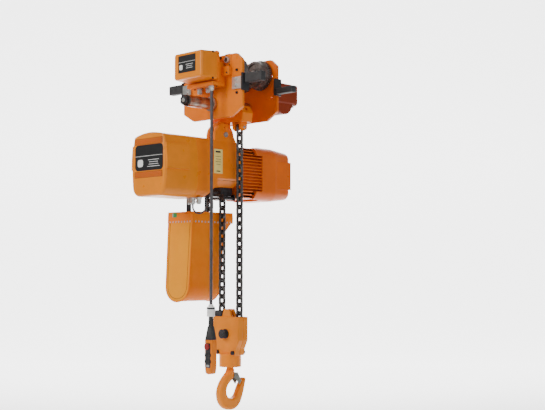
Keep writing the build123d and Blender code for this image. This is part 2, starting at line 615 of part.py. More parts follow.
with BuildPart() as motor_stator:
    with BuildSketch(motor_at(STATOR[1])) as ring:
        Circle(79.9)
        Circle(50, mode=Mode.SUBTRACT)
    extrude(ring.sketch, amount=STATOR[1] - STATOR[0])
    for y in (STATOR[0], STATOR[1] + 14):
        with BuildSketch(motor_at(y)) as ring:
            Circle(74)
            Circle(54, mode=Mode.SUBTRACT)
        extrude(ring.sketch, amount=14)
save(motor_stator, "motor_stator")

with BuildPart() as motor_rotor:
    gear(FAST_MODULE, FAST_PINION, meshed(0, FAST_GEAR, FAST_PINION, -UP), LOAD_X, LOAD_Z, -106, -126)
    bar(6.5, (LOAD_X, -136, LOAD_Z), (LOAD_X, -126, LOAD_Z))
    bar(6.5, (LOAD_X, -106, LOAD_Z), (LOAD_X, 352, LOAD_Z))
    bar(49.5, (LOAD_X, STATOR[0], LOAD_Z), (LOAD_X, STATOR[1], LOAD_Z))
save(motor_rotor, "motor_rotor")

with BuildPart() as brake_disc:
    bar(62, (LOAD_X, 252, LOAD_Z), (LOAD_X, 260, LOAD_Z))
    bar(18, (LOAD_X, 248, LOAD_Z), (LOAD_X, 268, LOAD_Z))
    bar(6.5, (LOAD_X, 240, LOAD_Z), (LOAD_X, 270, LOAD_Z), mode=Mode.SUBTRACT)
save(brake_disc, "brake_disc")

with BuildPart() as cooling_fan:
    bar(20, (LOAD_X, 300, LOAD_Z), (LOAD_X, 340, LOAD_Z))
    bar(76, (LOAD_X, 300, LOAD_Z), (LOAD_X, 303, LOAD_Z))
    for n in range(10):
        turn = 2 * math.pi * n / 10
        with Locations(Plane((LOAD_X, 303, LOAD_Z), x_dir=(math.cos(turn), 0, math.sin(turn)), z_dir=(0, 1, 0))):
            Box(60, 2.5, 30, align=(Align.MIN, Align.CENTER, Align.MIN), mode=Mode.ADD)
    bar(78, (LOAD_X, 290, LOAD_Z), (LOAD_X, 345, LOAD_Z), mode=Mode.INTERSECT)
    bar(6.5, (LOAD_X, 290, LOAD_Z), (LOAD_X, 345, LOAD_Z), mode=Mode.SUBTRACT)
save(cooling_fan, "cooling_fan")

with BuildPart() as fan_cover:
    middle = 262
    rounded(212, 238, 44, motor_at(middle), middle - FIN_BACK - 0.1)
    with BuildSketch(Plane((LOAD_X, middle, MOTOR_Z), x_dir=(-1, 0, 0), z_dir=(0, 1, 0))) as end:
        RectangleRounded(212, 238, 44)
    extrude(end.sketch, amount=FAN_BACK - middle, taper=7)
    fillet(fan_cover.faces().sort_by(Axis.Y)[-1].edges(), 16)
    for x in (LOAD_X - 104, LOAD_X + 96):
        block((x, 268, MOTOR_Z - 62), (x + 8, 366, MOTOR_Z + 62))
    with BuildSketch(motor_at(FIN_BACK + 2)) as lobes:
        RectangleRounded(212, 238, 44)
        Rectangle(161, 300, mode=Mode.SUBTRACT)
        Rectangle(300, 158, mode=Mode.SUBTRACT)
    extrude(lobes.sketch, amount=FIN_BACK + 2 - LOBE_FRONT)
    rounded(206, 232, 41, motor_at(middle + 4), middle + 4 - FIN_BACK - 3, mode=Mode.SUBTRACT)
    with BuildSketch(Plane((LOAD_X, middle, MOTOR_Z), x_dir=(-1, 0, 0), z_dir=(0, 1, 0))) as end:
        RectangleRounded(196, 222, 36)
    extrude(end.sketch, amount=FAN_BACK - 4 - middle, taper=7, mode=Mode.SUBTRACT)
    bar(86.2, (LOAD_X, FIN_BACK - 5, MOTOR_Z), (LOAD_X, FIN_BACK + 10, MOTOR_Z), mode=Mode.SUBTRACT)
    for n in range(9):
        z = MOTOR_Z + (n - 4) * 15
        half = math.sqrt(72**2 - ((n - 4) * 15) ** 2)
        block((LOAD_X - half, FAN_BACK - 8, z - 4), (LOAD_X + half, FAN_BACK + 1, z + 4), mode=Mode.SUBTRACT)
save(fan_cover, "fan_cover")

# Gear train between the motor and the load sheave
with BuildPart() as clutch_gear:
    gear(FAST_MODULE, FAST_GEAR, 0, LOAD_X, LOAD_Z + GEAR_GAP, -110, -122)
    bar(8.05, (LOAD_X, -100, LOAD_Z + GEAR_GAP), (LOAD_X, -130, LOAD_Z + GEAR_GAP), mode=Mode.SUBTRACT)
save(clutch_gear, "clutch_gear")

with BuildPart() as countershaft:
    axis_z = LOAD_Z + GEAR_GAP
    gear(SLOW_MODULE, SLOW_PINION, meshed(0, SLOW_GEAR, SLOW_PINION, UP), LOAD_X, axis_z, -74, -94)
    bar(8, (LOAD_X, -74, axis_z), (LOAD_X, -63, axis_z))
    bar(8, (LOAD_X, -94, axis_z), (LOAD_X, -144, axis_z))
    bar(34, (LOAD_X, -104, axis_z), (LOAD_X, -109.9, axis_z))
    bar(34, (LOAD_X, -122.1, axis_z), (LOAD_X, -128, axis_z))
save(countershaft, "countershaft")

with BuildPart() as load_sheave:
    pocket_wheel(LOAD_POCKETS, LOAD_LYING, LOAD_STANDING, LOAD_X, LOAD_Z, 54, 45)
    bar(22, (LOAD_X, -76, LOAD_Z), (LOAD_X, FRAME_BACK + 9, LOAD_Z))
    gear(SLOW_MODULE, SLOW_GEAR, 0, LOAD_X, LOAD_Z, -76, -90)
    bar(7.5, (LOAD_X, -95, LOAD_Z), (LOAD_X, FRAME_BACK + 15, LOAD_Z), mode=Mode.SUBTRACT)
save(load_sheave, "load_sheave")

# Under the body
GUIDE_TOP, GUIDE_FOOT = SHALLOW_FOOT - 0.2, -462
with BuildPart() as chain_guide:
    block((SLACK_X - 26, -34, GUIDE_FOOT), (LEFT_X + 26, 34, GUIDE_TOP))
    for y in (-34, 28):
        block((LEFT_X + 24, y, -480), (LEFT_X + 44, y + 6, GUIDE_FOOT + 6))
    for x in (LEFT_X, SLACK_X):
        block((x - 19.3, -20, GUIDE_FOOT - 1), (x + 19.3, 20, GUIDE_TOP + 1), mode=Mode.SUBTRACT)
    bar(4.05, (LEFT_X + 34, -40, -471), (LEFT_X + 34, 40, -471), mode=Mode.SUBTRACT)
save(chain_guide, "chain_guide")

with BuildPart() as limit_lever:
    block((LEFT_X - 34, -27, -474), (LEFT_X + 34, 27, -468))
    block((LEFT_X - 22, -22, -476), (LEFT_X + 22, 22, -466), mode=Mode.SUBTRACT)
    bar(4, (LEFT_X + 34, -34, -471), (LEFT_X + 34, 34, -471))
    bar(7, (LEFT_X + 34, -27, -471), (LEFT_X + 34, 27, -471))
save(limit_lever, "limit_lever")

LIMIT_ROUTE = [(-34, -186, -504.2), (-34, -186, -524), (-35, -166, -540), (-38, -135, -540),
               (-41, -108, -524), (-43, -88, -498), (-44, -72, -468), (-44, -54, -447), (-44, -34.3, -447)]
with BuildPart() as limit_cable:
    runs = [(Vector(b) - Vector(a)) for a, b in zip(LIMIT_ROUTE, LIMIT_ROUTE[1:])]
    radii = []
    for one, two in zip(runs, runs[1:]):
        half = math.radians(one.get_angle(two)) / 2
        radii.append(0.45 * min(one.length, two.length) / math.tan(half))
    with BuildLine() as path:
        FilletPolyline(*LIMIT_ROUTE, radius=radii)
    with BuildSketch(Plane(LIMIT_ROUTE[0], z_dir=runs[0])):
        Circle(3.5)
    sweep()
print("limit cable radii", [round(r) for r in radii])
save(limit_cable, "limit_cable")

with BuildPart() as hoist_glands:
    for x, y in ((-34, -186), (-62, -176), (-4, -180)):
        gland(x, y, BODY_FOOT - 0.1, -504)
save(hoist_glands, "hoist_glands")

with BuildPart() as hoist_screws:
    for x in (LOAD_X - 87, LOAD_X + 87):
        for z in (MOTOR_Z - 89, MOTOR_Z + 89):
            hexagon(6, (x, LOBE_FRONT - 7, z), (x, LOBE_FRONT - 0.1, z))
save(hoist_screws, "hoist_screws")

# Chain bag and its hanger
BAG_MIDDLE = (BAG_X[0] + BAG_X[1]) / 2


def bag_section(y, inset):
    """Deep U of the bag, narrowing a little to its round foot."""
    left, right = BAG_X[0] + inset, BAG_X[1] - inset
    foot = BAG_FOOT + inset
    with BuildSketch(across(y)) as section:
        with BuildLine():
            Polyline((left + 3, foot + 72), (left, BAG_RIM), (right, BAG_RIM), (right - 3, foot + 72))
            ThreePointArc((right - 3, foot + 72), (BAG_MIDDLE, foot), (left + 3, foot + 72))
        make_face()
    return section.sketch


with BuildPart() as chain_bag:
    extrude(bag_section(BAG_Y[1], 0), amount=BAG_Y[1] - BAG_Y[0])
    extrude(bag_section(BAG_Y[1] - 4, 4), amount=BAG_Y[1] - BAG_Y[0] - 8, mode=Mode.SUBTRACT)
save(chain_bag, "chain_bag")

with BuildPart() as bag_hanger:
    for y in (-86, 21):
        block((-189, y - 9, -431), (-158, y + 13, SHALLOW_FOOT - 0.3))
        block((-188, y, -545), (-162, y + 5, -428))
        block((BAG_X[0] + 4.5, y, -552), (BAG_X[1] - 4.5, y + 6, -540))
save(bag_hanger, "bag_hanger")

# ---------------------------------------------------------------- chain
LEFT_SPLIT, RIGHT_SPLIT = 8, 13    # links of each fall that belong to the block
SLACK_LINKS = 11


def fall(x, first, last, odd_standing):
    """Links of a straight fall, counted up from the idle sheave."""
    return [(x, IDLE_Z + k * LINK_STEP, UP, (k % 2 == 1) == odd_standing) for k in range(first, last + 1)]


def wrap(x, z, lying, standing, pockets, first_standing, way):
    """Links round half a pocket wheel, over it or under it."""
    spots = []
    for n in range(pockets + 1):
        angle = way * math.pi * n / pockets
        upright = (n % 2 == 0) == first_standing
        radius = standing if upright else lying
        spots.append((x + radius * math.cos(angle), z + radius * math.sin(angle), angle + UP, upright))
    return spots


with BuildPart() as load_chain_upper:
    links(fall(LEFT_X, LEFT_SPLIT + 1, 19, True))
    links(wrap(LOAD_X, LOAD_Z, LOAD_LYING, LOAD_STANDING, LOAD_POCKETS, False, 1))
    links([(SLACK_X, LOAD_Z - k * LINK_STEP, UP, k % 2 == 1) for k in range(1, SLACK_LINKS)])
    links(fall(RIGHT_X, RIGHT_SPLIT + 1, ANCHOR_LINK, False))
save(load_chain_upper, "load_chain_upper")

with BuildPart() as load_chain_lower:
    links(fall(LEFT_X, 1, LEFT_SPLIT, True))
    links(wrap(0, IDLE_Z, IDLE_LYING, IDLE_STANDING, IDLE_POCKETS, True, -1))
    links(fall(RIGHT_X, 1, RIGHT_SPLIT, False))
save(load_chain_lower, "load_chain_lower")

# ---------------------------------------------------------------- hook block
BELL_R, SHANK_R = 47, 14
BLOCK_BOLTS = [(-47, -1126), (47, -1126)]
BLOCK_POINTS = [(-78, BLOCK_TOP), (-78, -1074), (-60, -1112), (-56, -1138), (56, -1138),
                (60, -1112), (78, -1074), (78, BLOCK_TOP)]
CAVITY_R, CAVITY_HALF = 74.8, 22.8


def block_shell(side):
    """One half of the block's body, split on the plane of the chain."""
    near, far = sorted((side * 0.05, side * BLOCK_DEEP))
    slab(BLOCK_POINTS, across(far), far - near)
    hump = [(-27, BLOCK_TOP - 2), (-16, BLOCK_TOP + 32), (16, BLOCK_TOP + 32), (30, BLOCK_TOP - 2)]
    slab(hump, across(max(near, side * 12)), 12, rounding=1)
    bar(BELL_R, (0, 0, BLOCK_FOOT), (0, 0, -1132))
    cut = sorted((side * 0.05, -side * 100))
    block((-100, cut[0], -1200), (100, cut[1], -900), mode=Mode.SUBTRACT)
    bar(CAVITY_R, (0, -CAVITY_HALF, IDLE_Z), (0, CAVITY_HALF, IDLE_Z), mode=Mode.SUBTRACT)
    for x in (LEFT_X, RIGHT_X):
        block((x - 19.2, -19.4, IDLE_Z), (x + 19.2, 19.4, BLOCK_TOP + 40), mode=Mode.SUBTRACT)
    bar(13, (0, -40, IDLE_Z), (0, 40, IDLE_Z), mode=Mode.SUBTRACT)
    bar(31, (0, 0, -1178), (0, 0, -1136), mode=Mode.SUBTRACT)
    bar(SHANK_R + 0.3, (0, 0, -1200), (0, 0, -1170), mode=Mode.SUBTRACT)
    for x, z in BLOCK_BOLTS:
        bar(5.1, (x, -40, z), (x, 40, z), mode=Mode.SUBTRACT)


with BuildPart() as block_shell_front:
    block_shell(-1)
save(block_shell_front, "block_shell_front")

with BuildPart() as block_shell_rear:
    block_shell(1)
save(block_shell_rear, "block_shell_rear")

IDLE_AXLE_R = 12.9
with BuildPart() as block_pins:
    for x, z in BLOCK_BOLTS:
        bar(5, (x, -BLOCK_DEEP - 3, z), (x, BLOCK_DEEP + 3, z))
        bar(8.5, (x, -BLOCK_DEEP - 9, z), (x, -BLOCK_DEEP - 0.1, z))
        hexagon(8.5, (x, BLOCK_DEEP + 0.1, z), (x, BLOCK_DEEP + 8, z))
    bar(IDLE_AXLE_R, (0, -BLOCK_DEEP - 2, IDLE_Z), (0, BLOCK_DEEP + 2, IDLE_Z))
    for side in (-1, 1):
        bar(20, (0, side * (BLOCK_DEEP + 0.1), IDLE_Z), (0, side * (BLOCK_DEEP + 3), IDLE_Z))
save(block_pins, "block_pins")

with BuildPart() as idle_sheave:
    pocket_wheel(IDLE_POCKETS, IDLE_LYING, IDLE_STANDING, 0, IDLE_Z, 64, 0)
    bar(IDLE_AXLE_R + 0.05, (0, -30, IDLE_Z), (0, 30, IDLE_Z), mode=Mode.SUBTRACT)
save(idle_sheave, "idle_sheave")

# Rubber stop on the left fall and its knob
with BuildPart() as chain_stop:
    with BuildSketch(Plane.XY.offset(BLOCK_TOP + 0.4)) as ring:
        with Locations((LEFT_X - 3, 0)):
            RectangleRounded(50, 50, 14)
        with Locations((LEFT_X, 0)):
            Rectangle(38.8, 38.8, mode=Mode.SUBTRACT)
    extrude(ring.sketch, amount=24)
save(chain_stop, "chain_stop")

# Hook: an eyeless shank hook that swivels in the block on its nut
LATCH_Y, LATCH_Z = 17, -1224
HOOK_OUTER = [(-16, -1208), (-40, -1230), (-65, -1264), (-73, -1300), (-56, -1346), (-8, -1369),
              (38, -1354), (63, -1312), (77, -1266), (82, -1246)]
HOOK_INNER = [(68, -1242), (50, -1266), (36, -1292), (24, -1312), (-2, -1321), (-26, -1308),
              (-32, -1286), (-20, -1260), (4, -1240), (14, -1222)]
HOOK_HALF = 17
with BuildPart() as hook:
    with BuildSketch(sideways(-HOOK_HALF)) as bowl:
        with BuildLine():
            Line((14, -1196), (-14, -1196))
            Line((-14, -1196), HOOK_OUTER[0])
            Spline(*HOOK_OUTER)
            ThreePointArc(HOOK_OUTER[-1], (76, -1239), HOOK_INNER[0])
            Spline(*HOOK_INNER)
            Line(HOOK_INNER[-1], (14, -1196))
        make_face()
    extrude(bowl.sketch, amount=2 * HOOK_HALF)
    sides = hook.faces().filter_by(Axis.X)
    chamfer(sides.edges(), 6)
    bar(SHANK_R, (0, 0, -1200), (0, 0, -1145))
    bar(9, (-12, LATCH_Y, LATCH_Z), (12, LATCH_Y, LATCH_Z))
    for x in (-30, 12):
        block((x, 1, LATCH_Z - 22), (x + 18, LATCH_Y + 20, LATCH_Z + 14), mode=Mode.SUBTRACT)
    bar(3.05, (-40, LATCH_Y, LATCH_Z), (40, LATCH_Y, LATCH_Z), mode=Mode.SUBTRACT)
save(hook, "hook")

with BuildPart() as hook_nut:
    bar(27, (0, 0, -1177.7), (0, 0, -1150))
    bar(SHANK_R + 0.05, (0, 0, -1180), (0, 0, -1140), mode=Mode.SUBTRACT)
save(hook_nut, "hook_nut")

LATCH_WEB = [(28, -1214), (31, -1214), (53, -1250), (50, -1251)]
LATCH_SIDE = [(9, -1218), (14, -1214), (31, -1214), (53, -1250), (43, -1266), (20, -1240), (10, -1232)]
with BuildPart() as safety_latch:
    slab(LATCH_WEB, sideways(-12.4), 24.8)
    for x in (-14.9, 12.4):
        slab(LATCH_SIDE, sideways(x), 2.5, rounding=2)
    bar(3, (-17, LATCH_Y, LATCH_Z), (17, LATCH_Y, LATCH_Z))
    for x in (-17, 15):
        bar(5, (x, LATCH_Y, LATCH_Z), (x + 2, LATCH_Y, LATCH_Z))
save(safety_latch, "safety_latch")

# ---------------------------------------------------------------- pendant
CASE_HALF, CASE_FRONT, CASE_REAR = 21.5, -186, -155
CLAMP_FOOT, NECK_FOOT = -968, -1008

with BuildPart() as pendant_cable:
    bar(CABLE_R, (CABLE_X, CABLE_Y, CABLE_END), (CABLE_X, CABLE_Y, CABLE_TOP))
save(pendant_cable, "pendant_cable")

with BuildPart() as cable_clamp:
    bar(11, (CABLE_X, CABLE_Y, CABLE_END - 4), (CABLE_X, CABLE_Y, CABLE_END))
    bar(16.5, (CABLE_X, CABLE_Y, CLAMP_FOOT), (CABLE_X, CABLE_Y, CABLE_END - 4))
save(cable_clamp, "cable_clamp")

with BuildPart() as pendant_boot:
    bar(9, (CABLE_X, CABLE_Y, CLAMP_FOOT), (CABLE_X, CABLE_Y, NECK_FOOT), tip=10)
    with BuildSketch(Plane((CABLE_X, CABLE_Y, NECK_FOOT))) as top:
        RectangleRounded(25, 23, 9)
    with BuildSketch(Plane((CABLE_X, CABLE_Y - 0.5, PENDANT_TOP))) as foot:
        RectangleRounded(2 * CASE_HALF + 2, 32, 9)
    loft([top.sketch.face(), foot.sketch.face()])
save(pendant_boot, "pendant_boot")

BUTTON_ROWS = (-1124, -1150)
STOP_Z, STOP_R, BUTTON_R = -1090, 11, 7.5


def pendant_case(front, back):
    """Half of the pendant's case between two stations along Y."""
    with BuildSketch(across(back)) as outline:
        with BuildLine():
            Polyline((CABLE_X - 18, PENDANT_TOP - 134), (CABLE_X - CASE_HALF, PENDANT_TOP - 108),
                     (CABLE_X - CASE_HALF, PENDANT_TOP - 0.2), (CABLE_X + CASE_HALF, PENDANT_TOP - 0.2),
                     (CABLE_X + CASE_HALF, PENDANT_TOP - 108), (CABLE_X + 18, PENDANT_TOP - 134))
            ThreePointArc((CABLE_X + 18, PENDANT_TOP - 134), (CABLE_X, PENDANT_FOOT),
                          (CABLE_X - 18, PENDANT_TOP - 134))
        make_face()
    extrude(outline.sketch, amount=back - front)


with BuildPart() as pendant_case_front:
    pendant_case(CASE_FRONT, CABLE_Y - 0.05)
    chamfer(pendant_case_front.faces().sort_by(Axis.Y)[0].edges(), 3)
    rounded(36, 124, 8, at(CABLE_X, CABLE_Y, -1126), 13, mode=Mode.SUBTRACT)
    bar(STOP_R + 0.6, (CABLE_X, -150, STOP_Z), (CABLE_X, -200, STOP_Z), mode=Mode.SUBTRACT)
    for z in BUTTON_ROWS:
        for x in (-9, 9):
            bar(BUTTON_R + 0.4, (CABLE_X + x, -150, z), (CABLE_X + x, -200, z), mode=Mode.SUBTRACT)
save(pendant_case_front, "pendant_case_front")

with BuildPart() as pendant_case_rear:
    pendant_case(CABLE_Y + 0.05, CASE_REAR)
    chamfer(pendant_case_rear.faces().sort_by(Axis.Y)[-1].edges(), 3)
    rounded(36, 124, 8, at(CABLE_X, CASE_REAR - 4, -1126), 20, mode=Mode.SUBTRACT)
save(pendant_case_rear, "pendant_case_rear")

with BuildPart() as stop_button:
    bar(STOP_R, (CABLE_X, -176, STOP_Z), (CABLE_X, CASE_FRONT - 5, STOP_Z))
    bar(STOP_R + 2.5, (CABLE_X, -180, STOP_Z), (CABLE_X, -178, STOP_Z))
    bar(STOP_R + 2, (CABLE_X, CASE_FRONT - 5, STOP_Z), (CABLE_X, CASE_FRONT - 11, STOP_Z))
    fillet(stop_button.faces().sort_by(Axis.Y)[0].edges(), 2)
save(stop_button, "stop_button")

BUTTON_NAMES = {"up_button": (-9, BUTTON_ROWS[0]), "down_button": (9, BUTTON_ROWS[0]),
                "left_button": (-9, BUTTON_ROWS[1]), "right_button": (9, BUTTON_ROWS[1])}
for name, (x, z) in BUTTON_NAMES.items():
    with BuildPart() as push_button:
        bar(BUTTON_R, (CABLE_X + x, -176, z), (CABLE_X + x, CASE_FRONT - 5, z))
        bar(BUTTON_R + 1, (CABLE_X + x, -180, z), (CABLE_X + x, -178, z))
        fillet(push_button.faces().sort_by(Axis.Y)[0].edges(), 1.5)
    save(push_button, name)
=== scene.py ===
import math

import bmesh
import bpy
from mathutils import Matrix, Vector, noise


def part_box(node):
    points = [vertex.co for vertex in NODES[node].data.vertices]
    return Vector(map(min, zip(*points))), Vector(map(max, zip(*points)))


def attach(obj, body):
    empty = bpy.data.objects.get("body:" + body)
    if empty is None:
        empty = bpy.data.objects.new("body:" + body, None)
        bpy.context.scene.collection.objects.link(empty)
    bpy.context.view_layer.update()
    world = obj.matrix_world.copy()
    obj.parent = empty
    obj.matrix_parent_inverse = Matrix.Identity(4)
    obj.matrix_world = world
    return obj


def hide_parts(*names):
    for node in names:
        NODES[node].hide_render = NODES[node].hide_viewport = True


# Electric chain hoist: the looks. Metres, in the frame's axes. -Y is the labelled
# side, +X runs along the beam, +Z is up.

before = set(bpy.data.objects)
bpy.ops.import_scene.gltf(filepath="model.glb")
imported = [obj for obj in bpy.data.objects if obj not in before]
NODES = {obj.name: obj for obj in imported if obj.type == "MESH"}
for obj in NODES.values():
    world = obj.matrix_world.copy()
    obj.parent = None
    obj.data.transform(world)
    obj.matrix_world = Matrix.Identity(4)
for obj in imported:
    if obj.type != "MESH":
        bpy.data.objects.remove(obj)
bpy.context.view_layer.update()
MM = 0.001
X, Y, Z = Vector((1, 0, 0)), Vector((0, 1, 0)), Vector((0, 0, 1))
FRONT = -Y                 # the labelled side


# ---------------------------------------------------------------- camera
AZIMUTH, PITCH = math.radians(43.72), math.radians(3.29)
CAMERA_AT = (3.1601, -3.0444, -0.7525)
LENS = 67.65

camera_data = bpy.data.cameras.new("camera")
camera_data.lens = LENS
camera_data.sensor_width = 36
camera = bpy.data.objects.new("camera", camera_data)
bpy.context.scene.collection.objects.link(camera)
camera.location = CAMERA_AT
looking = Vector((-math.sin(AZIMUTH) * math.cos(PITCH), math.cos(AZIMUTH) * math.cos(PITCH), math.sin(PITCH)))
camera.rotation_mode = "QUATERNION"
camera.rotation_quaternion = looking.to_track_quat("-Z", "Y")
bpy.context.scene.camera = camera


# ---------------------------------------------------------------- materials
def link(tree, out, into):
    tree.links.new(out, into)


def node(tree, kind, **values):
    """A shader node with some of its properties and inputs set."""
    made = tree.nodes.new(kind)
    for name, value in values.items():
        if name in made.inputs:
            made.inputs[name].default_value = value
        else:
            setattr(made, name, value)
    return made


def new_material(name, roughness, metallic=0.0, coat=0.0, sheen=0.0):
    """A material, its node tree, its shader and its object-space coordinates."""
    made = bpy.data.materials.new(name)
    made.use_nodes = True
    tree = made.node_tree
    shader = tree.nodes["Principled BSDF"]
    shader.inputs["Roughness"].default_value = roughness
    shader.inputs["Metallic"].default_value = metallic
    shader.inputs["Coat Weight"].default_value = coat
    shader.inputs["Coat Roughness"].default_value = 0.18
    shader.inputs["Sheen Weight"].default_value = sheen
    place = node(tree, "ShaderNodeTexCoord").outputs["Object"]
    return made, tree, shader, place


def noise_at(tree, place, scale, detail=3.0, rough=0.55):
    """Noise of so many cells to the metre."""
    made = node(tree, "ShaderNodeTexNoise", Scale=scale, Detail=detail, Roughness=rough)
    link(tree, place, made.inputs["Vector"])
    return made.outputs["Fac"]


def ramp(tree, fac, stops):
    """Colour ramp from a list of (position, colour)."""
    made = tree.nodes.new("ShaderNodeValToRGB")
    while len(made.color_ramp.elements) < len(stops):
        made.color_ramp.elements.new(0.5)
    for element, (position, colour) in zip(made.color_ramp.elements, stops):
        element.position = position
        element.color = (*colour, 1)
    link(tree, fac, made.inputs["Fac"])
    return made.outputs["Color"]


def mixed(tree, fac, one, two, blend="MIX"):
    """Mix of two colours, each a socket or a plain colour."""
    made = tree.nodes.new("ShaderNodeMix")
    made.data_type, made.blend_type = "RGBA", blend
    for value, place in ((fac, 0), (one, 6), (two, 7)):
        if isinstance(value, bpy.types.NodeSocket):
            link(tree, value, made.inputs[place])
        elif place:
            made.inputs[place].default_value = (*value, 1)
        else:
            made.inputs[place].default_value = value
    return made.outputs[2]


def spread(tree, fac, low, high):
    """Noise stretched to run from low to high."""
    made = node(tree, "ShaderNodeMapRange")
    made.inputs["From Min"].default_value, made.inputs["From Max"].default_value = 0.3, 0.7
    made.inputs["To Min"].default_value, made.inputs["To Max"].default_value = low, high
    link(tree, fac, made.inputs["Value"])
    return made.outputs["Result"]


def bumped(tree, shader, height, strength, distance, edge=0.0):
    """Bump over edges that the shader rounds by edge metres."""
    bump = node(tree, "ShaderNodeBump", Strength=strength, Distance=distance)
    link(tree, height, bump.inputs["Height"])
    if edge:
        rounding = tree.nodes.new("ShaderNodeBevel")
        rounding.samples = 4
        rounding.inputs["Radius"].default_value = edge
        link(tree, rounding.outputs["Normal"], bump.inputs["Normal"])
    link(tree, bump.outputs["Normal"], shader.inputs["Normal"])


def edge_mask(tree, width):
    """1 on outer edges, 0 on flats: how far a rounded normal leans from the true one."""
    rounding = tree.nodes.new("ShaderNodeBevel")
    rounding.samples = 4
    rounding.inputs["Radius"].default_value = width
    geometry = tree.nodes.new("ShaderNodeNewGeometry")
    dot = node(tree, "ShaderNodeVectorMath", operation="DOT_PRODUCT")
    link(tree, rounding.outputs["Normal"], dot.inputs[0])
    link(tree, geometry.outputs["Normal"], dot.inputs[1])
    made = node(tree, "ShaderNodeMapRange")
    made.inputs["From Min"].default_value, made.inputs["From Max"].default_value = 0.99, 0.8
    link(tree, dot.outputs["Value"], made.inputs["Value"])
    return made.outputs["Result"]


def paint(name, colour, scuffed_lit_edge_colour, dust, roughness=0.34, peel=0.16, grain=900.0, scuffed_lit_edge_amount=0.75):
    """Sprayed paint: soft mottling, orange peel, dust in patches and paler edges, partly scuffs and partly a
    painted highlight.
    """
    made, tree, shader, place = new_material(name, roughness, coat=0.1)
    shader.inputs["Specular IOR Level"].default_value = 0.35
    darker = tuple(c * 0.86 for c in colour)
    patches = spread(tree, noise_at(tree, place, 9.0, 4.0), 0, 1)
    base = mixed(tree, patches, colour, darker)
    streaks = spread(tree, noise_at(tree, place, 46.0, 6.0, 0.7), 0, 0.14)
    base = mixed(tree, streaks, base, dust)
    chips = noise_at(tree, place, 160.0, 3.0)
    # Paler edges: partly scuffs, partly a painted highlight where the rounded edges would catch light.
    edge = edge_mask(tree, 0.0016)
    scuffed_lit_edge = node(tree, "ShaderNodeMath", operation="MULTIPLY")
    link(tree, edge, scuffed_lit_edge.inputs[0])
    link(tree, spread(tree, chips, 0.05 * scuffed_lit_edge_amount, scuffed_lit_edge_amount), scuffed_lit_edge.inputs[1])
    base = mixed(tree, scuffed_lit_edge.outputs["Value"], base, scuffed_lit_edge_colour)
    link(tree, base, shader.inputs["Base Color"])
    link(tree, spread(tree, noise_at(tree, place, 30.0), roughness - 0.07, roughness + 0.1),
         shader.inputs["Roughness"])
    bumped(tree, shader, noise_at(tree, place, grain, 2.0), peel, 0.0004, 0.0012)
    return made


def steel(name, colour, dull, roughness, scale=40.0, metallic=0.9, oil=0.25):
    """Zinc-plated or bare steel: cloudy tone, fine scratches, grease in patches."""
    made, tree, shader, place = new_material(name, roughness, metallic)
    cloud = spread(tree, noise_at(tree, place, scale, 5.0), 0, 1)
    base = mixed(tree, cloud, colour, dull)
    grime = spread(tree, noise_at(tree, place, scale * 3, 4.0, 0.7), 0, oil)
    base = mixed(tree, grime, base, (0.03, 0.025, 0.02))
    link(tree, base, shader.inputs["Base Color"])
    link(tree, spread(tree, noise_at(tree, place, scale * 4), roughness - 0.1, roughness + 0.15),
         shader.inputs["Roughness"])
    bumped(tree, shader, noise_at(tree, place, scale * 30, 2.0), 0.12, 0.0002, 0.0006)
    return made


def moulded(name, colour, roughness, grain=1400.0, strength=0.25, fade=0.5):
    """Rubber or plastic with a fine moulded grain and a little bloom."""
    made, tree, shader, place = new_material(name, roughness)
    bloom = tuple(min(1, c + 0.035 * fade + c * 0.25) for c in colour)
    base = mixed(tree, spread(tree, noise_at(tree, place, 28.0, 5.0), 0, 1), colour, bloom)
    link(tree, base, shader.inputs["Base Color"])
    link(tree, spread(tree, noise_at(tree, place, 60.0), roughness - 0.08, roughness + 0.08),
         shader.inputs["Roughness"])
    bumped(tree, shader, noise_at(tree, place, grain, 2.0), strength, 0.0003, 0.0008)
    return made


def washers():
    """The spacer stack: zinc and copper-toned washers, turned rings on each."""
    made, tree, shader, place = new_material("washer_stack", 0.3, 0.95)
    split = node(tree, "ShaderNodeSeparateXYZ")
    link(tree, place, split.inputs["Vector"])
    wave = node(tree, "ShaderNodeMath", operation="SINE")
    scaled = node(tree, "ShaderNodeMath", operation="MULTIPLY")
    scaled.inputs[1].default_value = 2 * math.pi / 0.046
    link(tree, split.outputs["Y"], scaled.inputs[0])
    link(tree, scaled.outputs["Value"], wave.inputs[0])
    half = node(tree, "ShaderNodeMapRange")
    half.inputs["From Min"].default_value = -1
    link(tree, wave.outputs["Value"], half.inputs["Value"])
    bands = ramp(tree, half.outputs["Result"], [(0, (0.5, 0.28, 0.2)), (0.5, (0.55, 0.4, 0.32)),
                                                (1, (0.62, 0.52, 0.45))])
    grime = spread(tree, noise_at(tree, place, 120.0, 4.0), 0, 0.35)
    link(tree, mixed(tree, grime, bands, (0.1, 0.06, 0.05)), shader.inputs["Base Color"])
    bumped(tree, shader, noise_at(tree, place, 900.0, 2.0), 0.2, 0.0002, 0.0006)
    return made


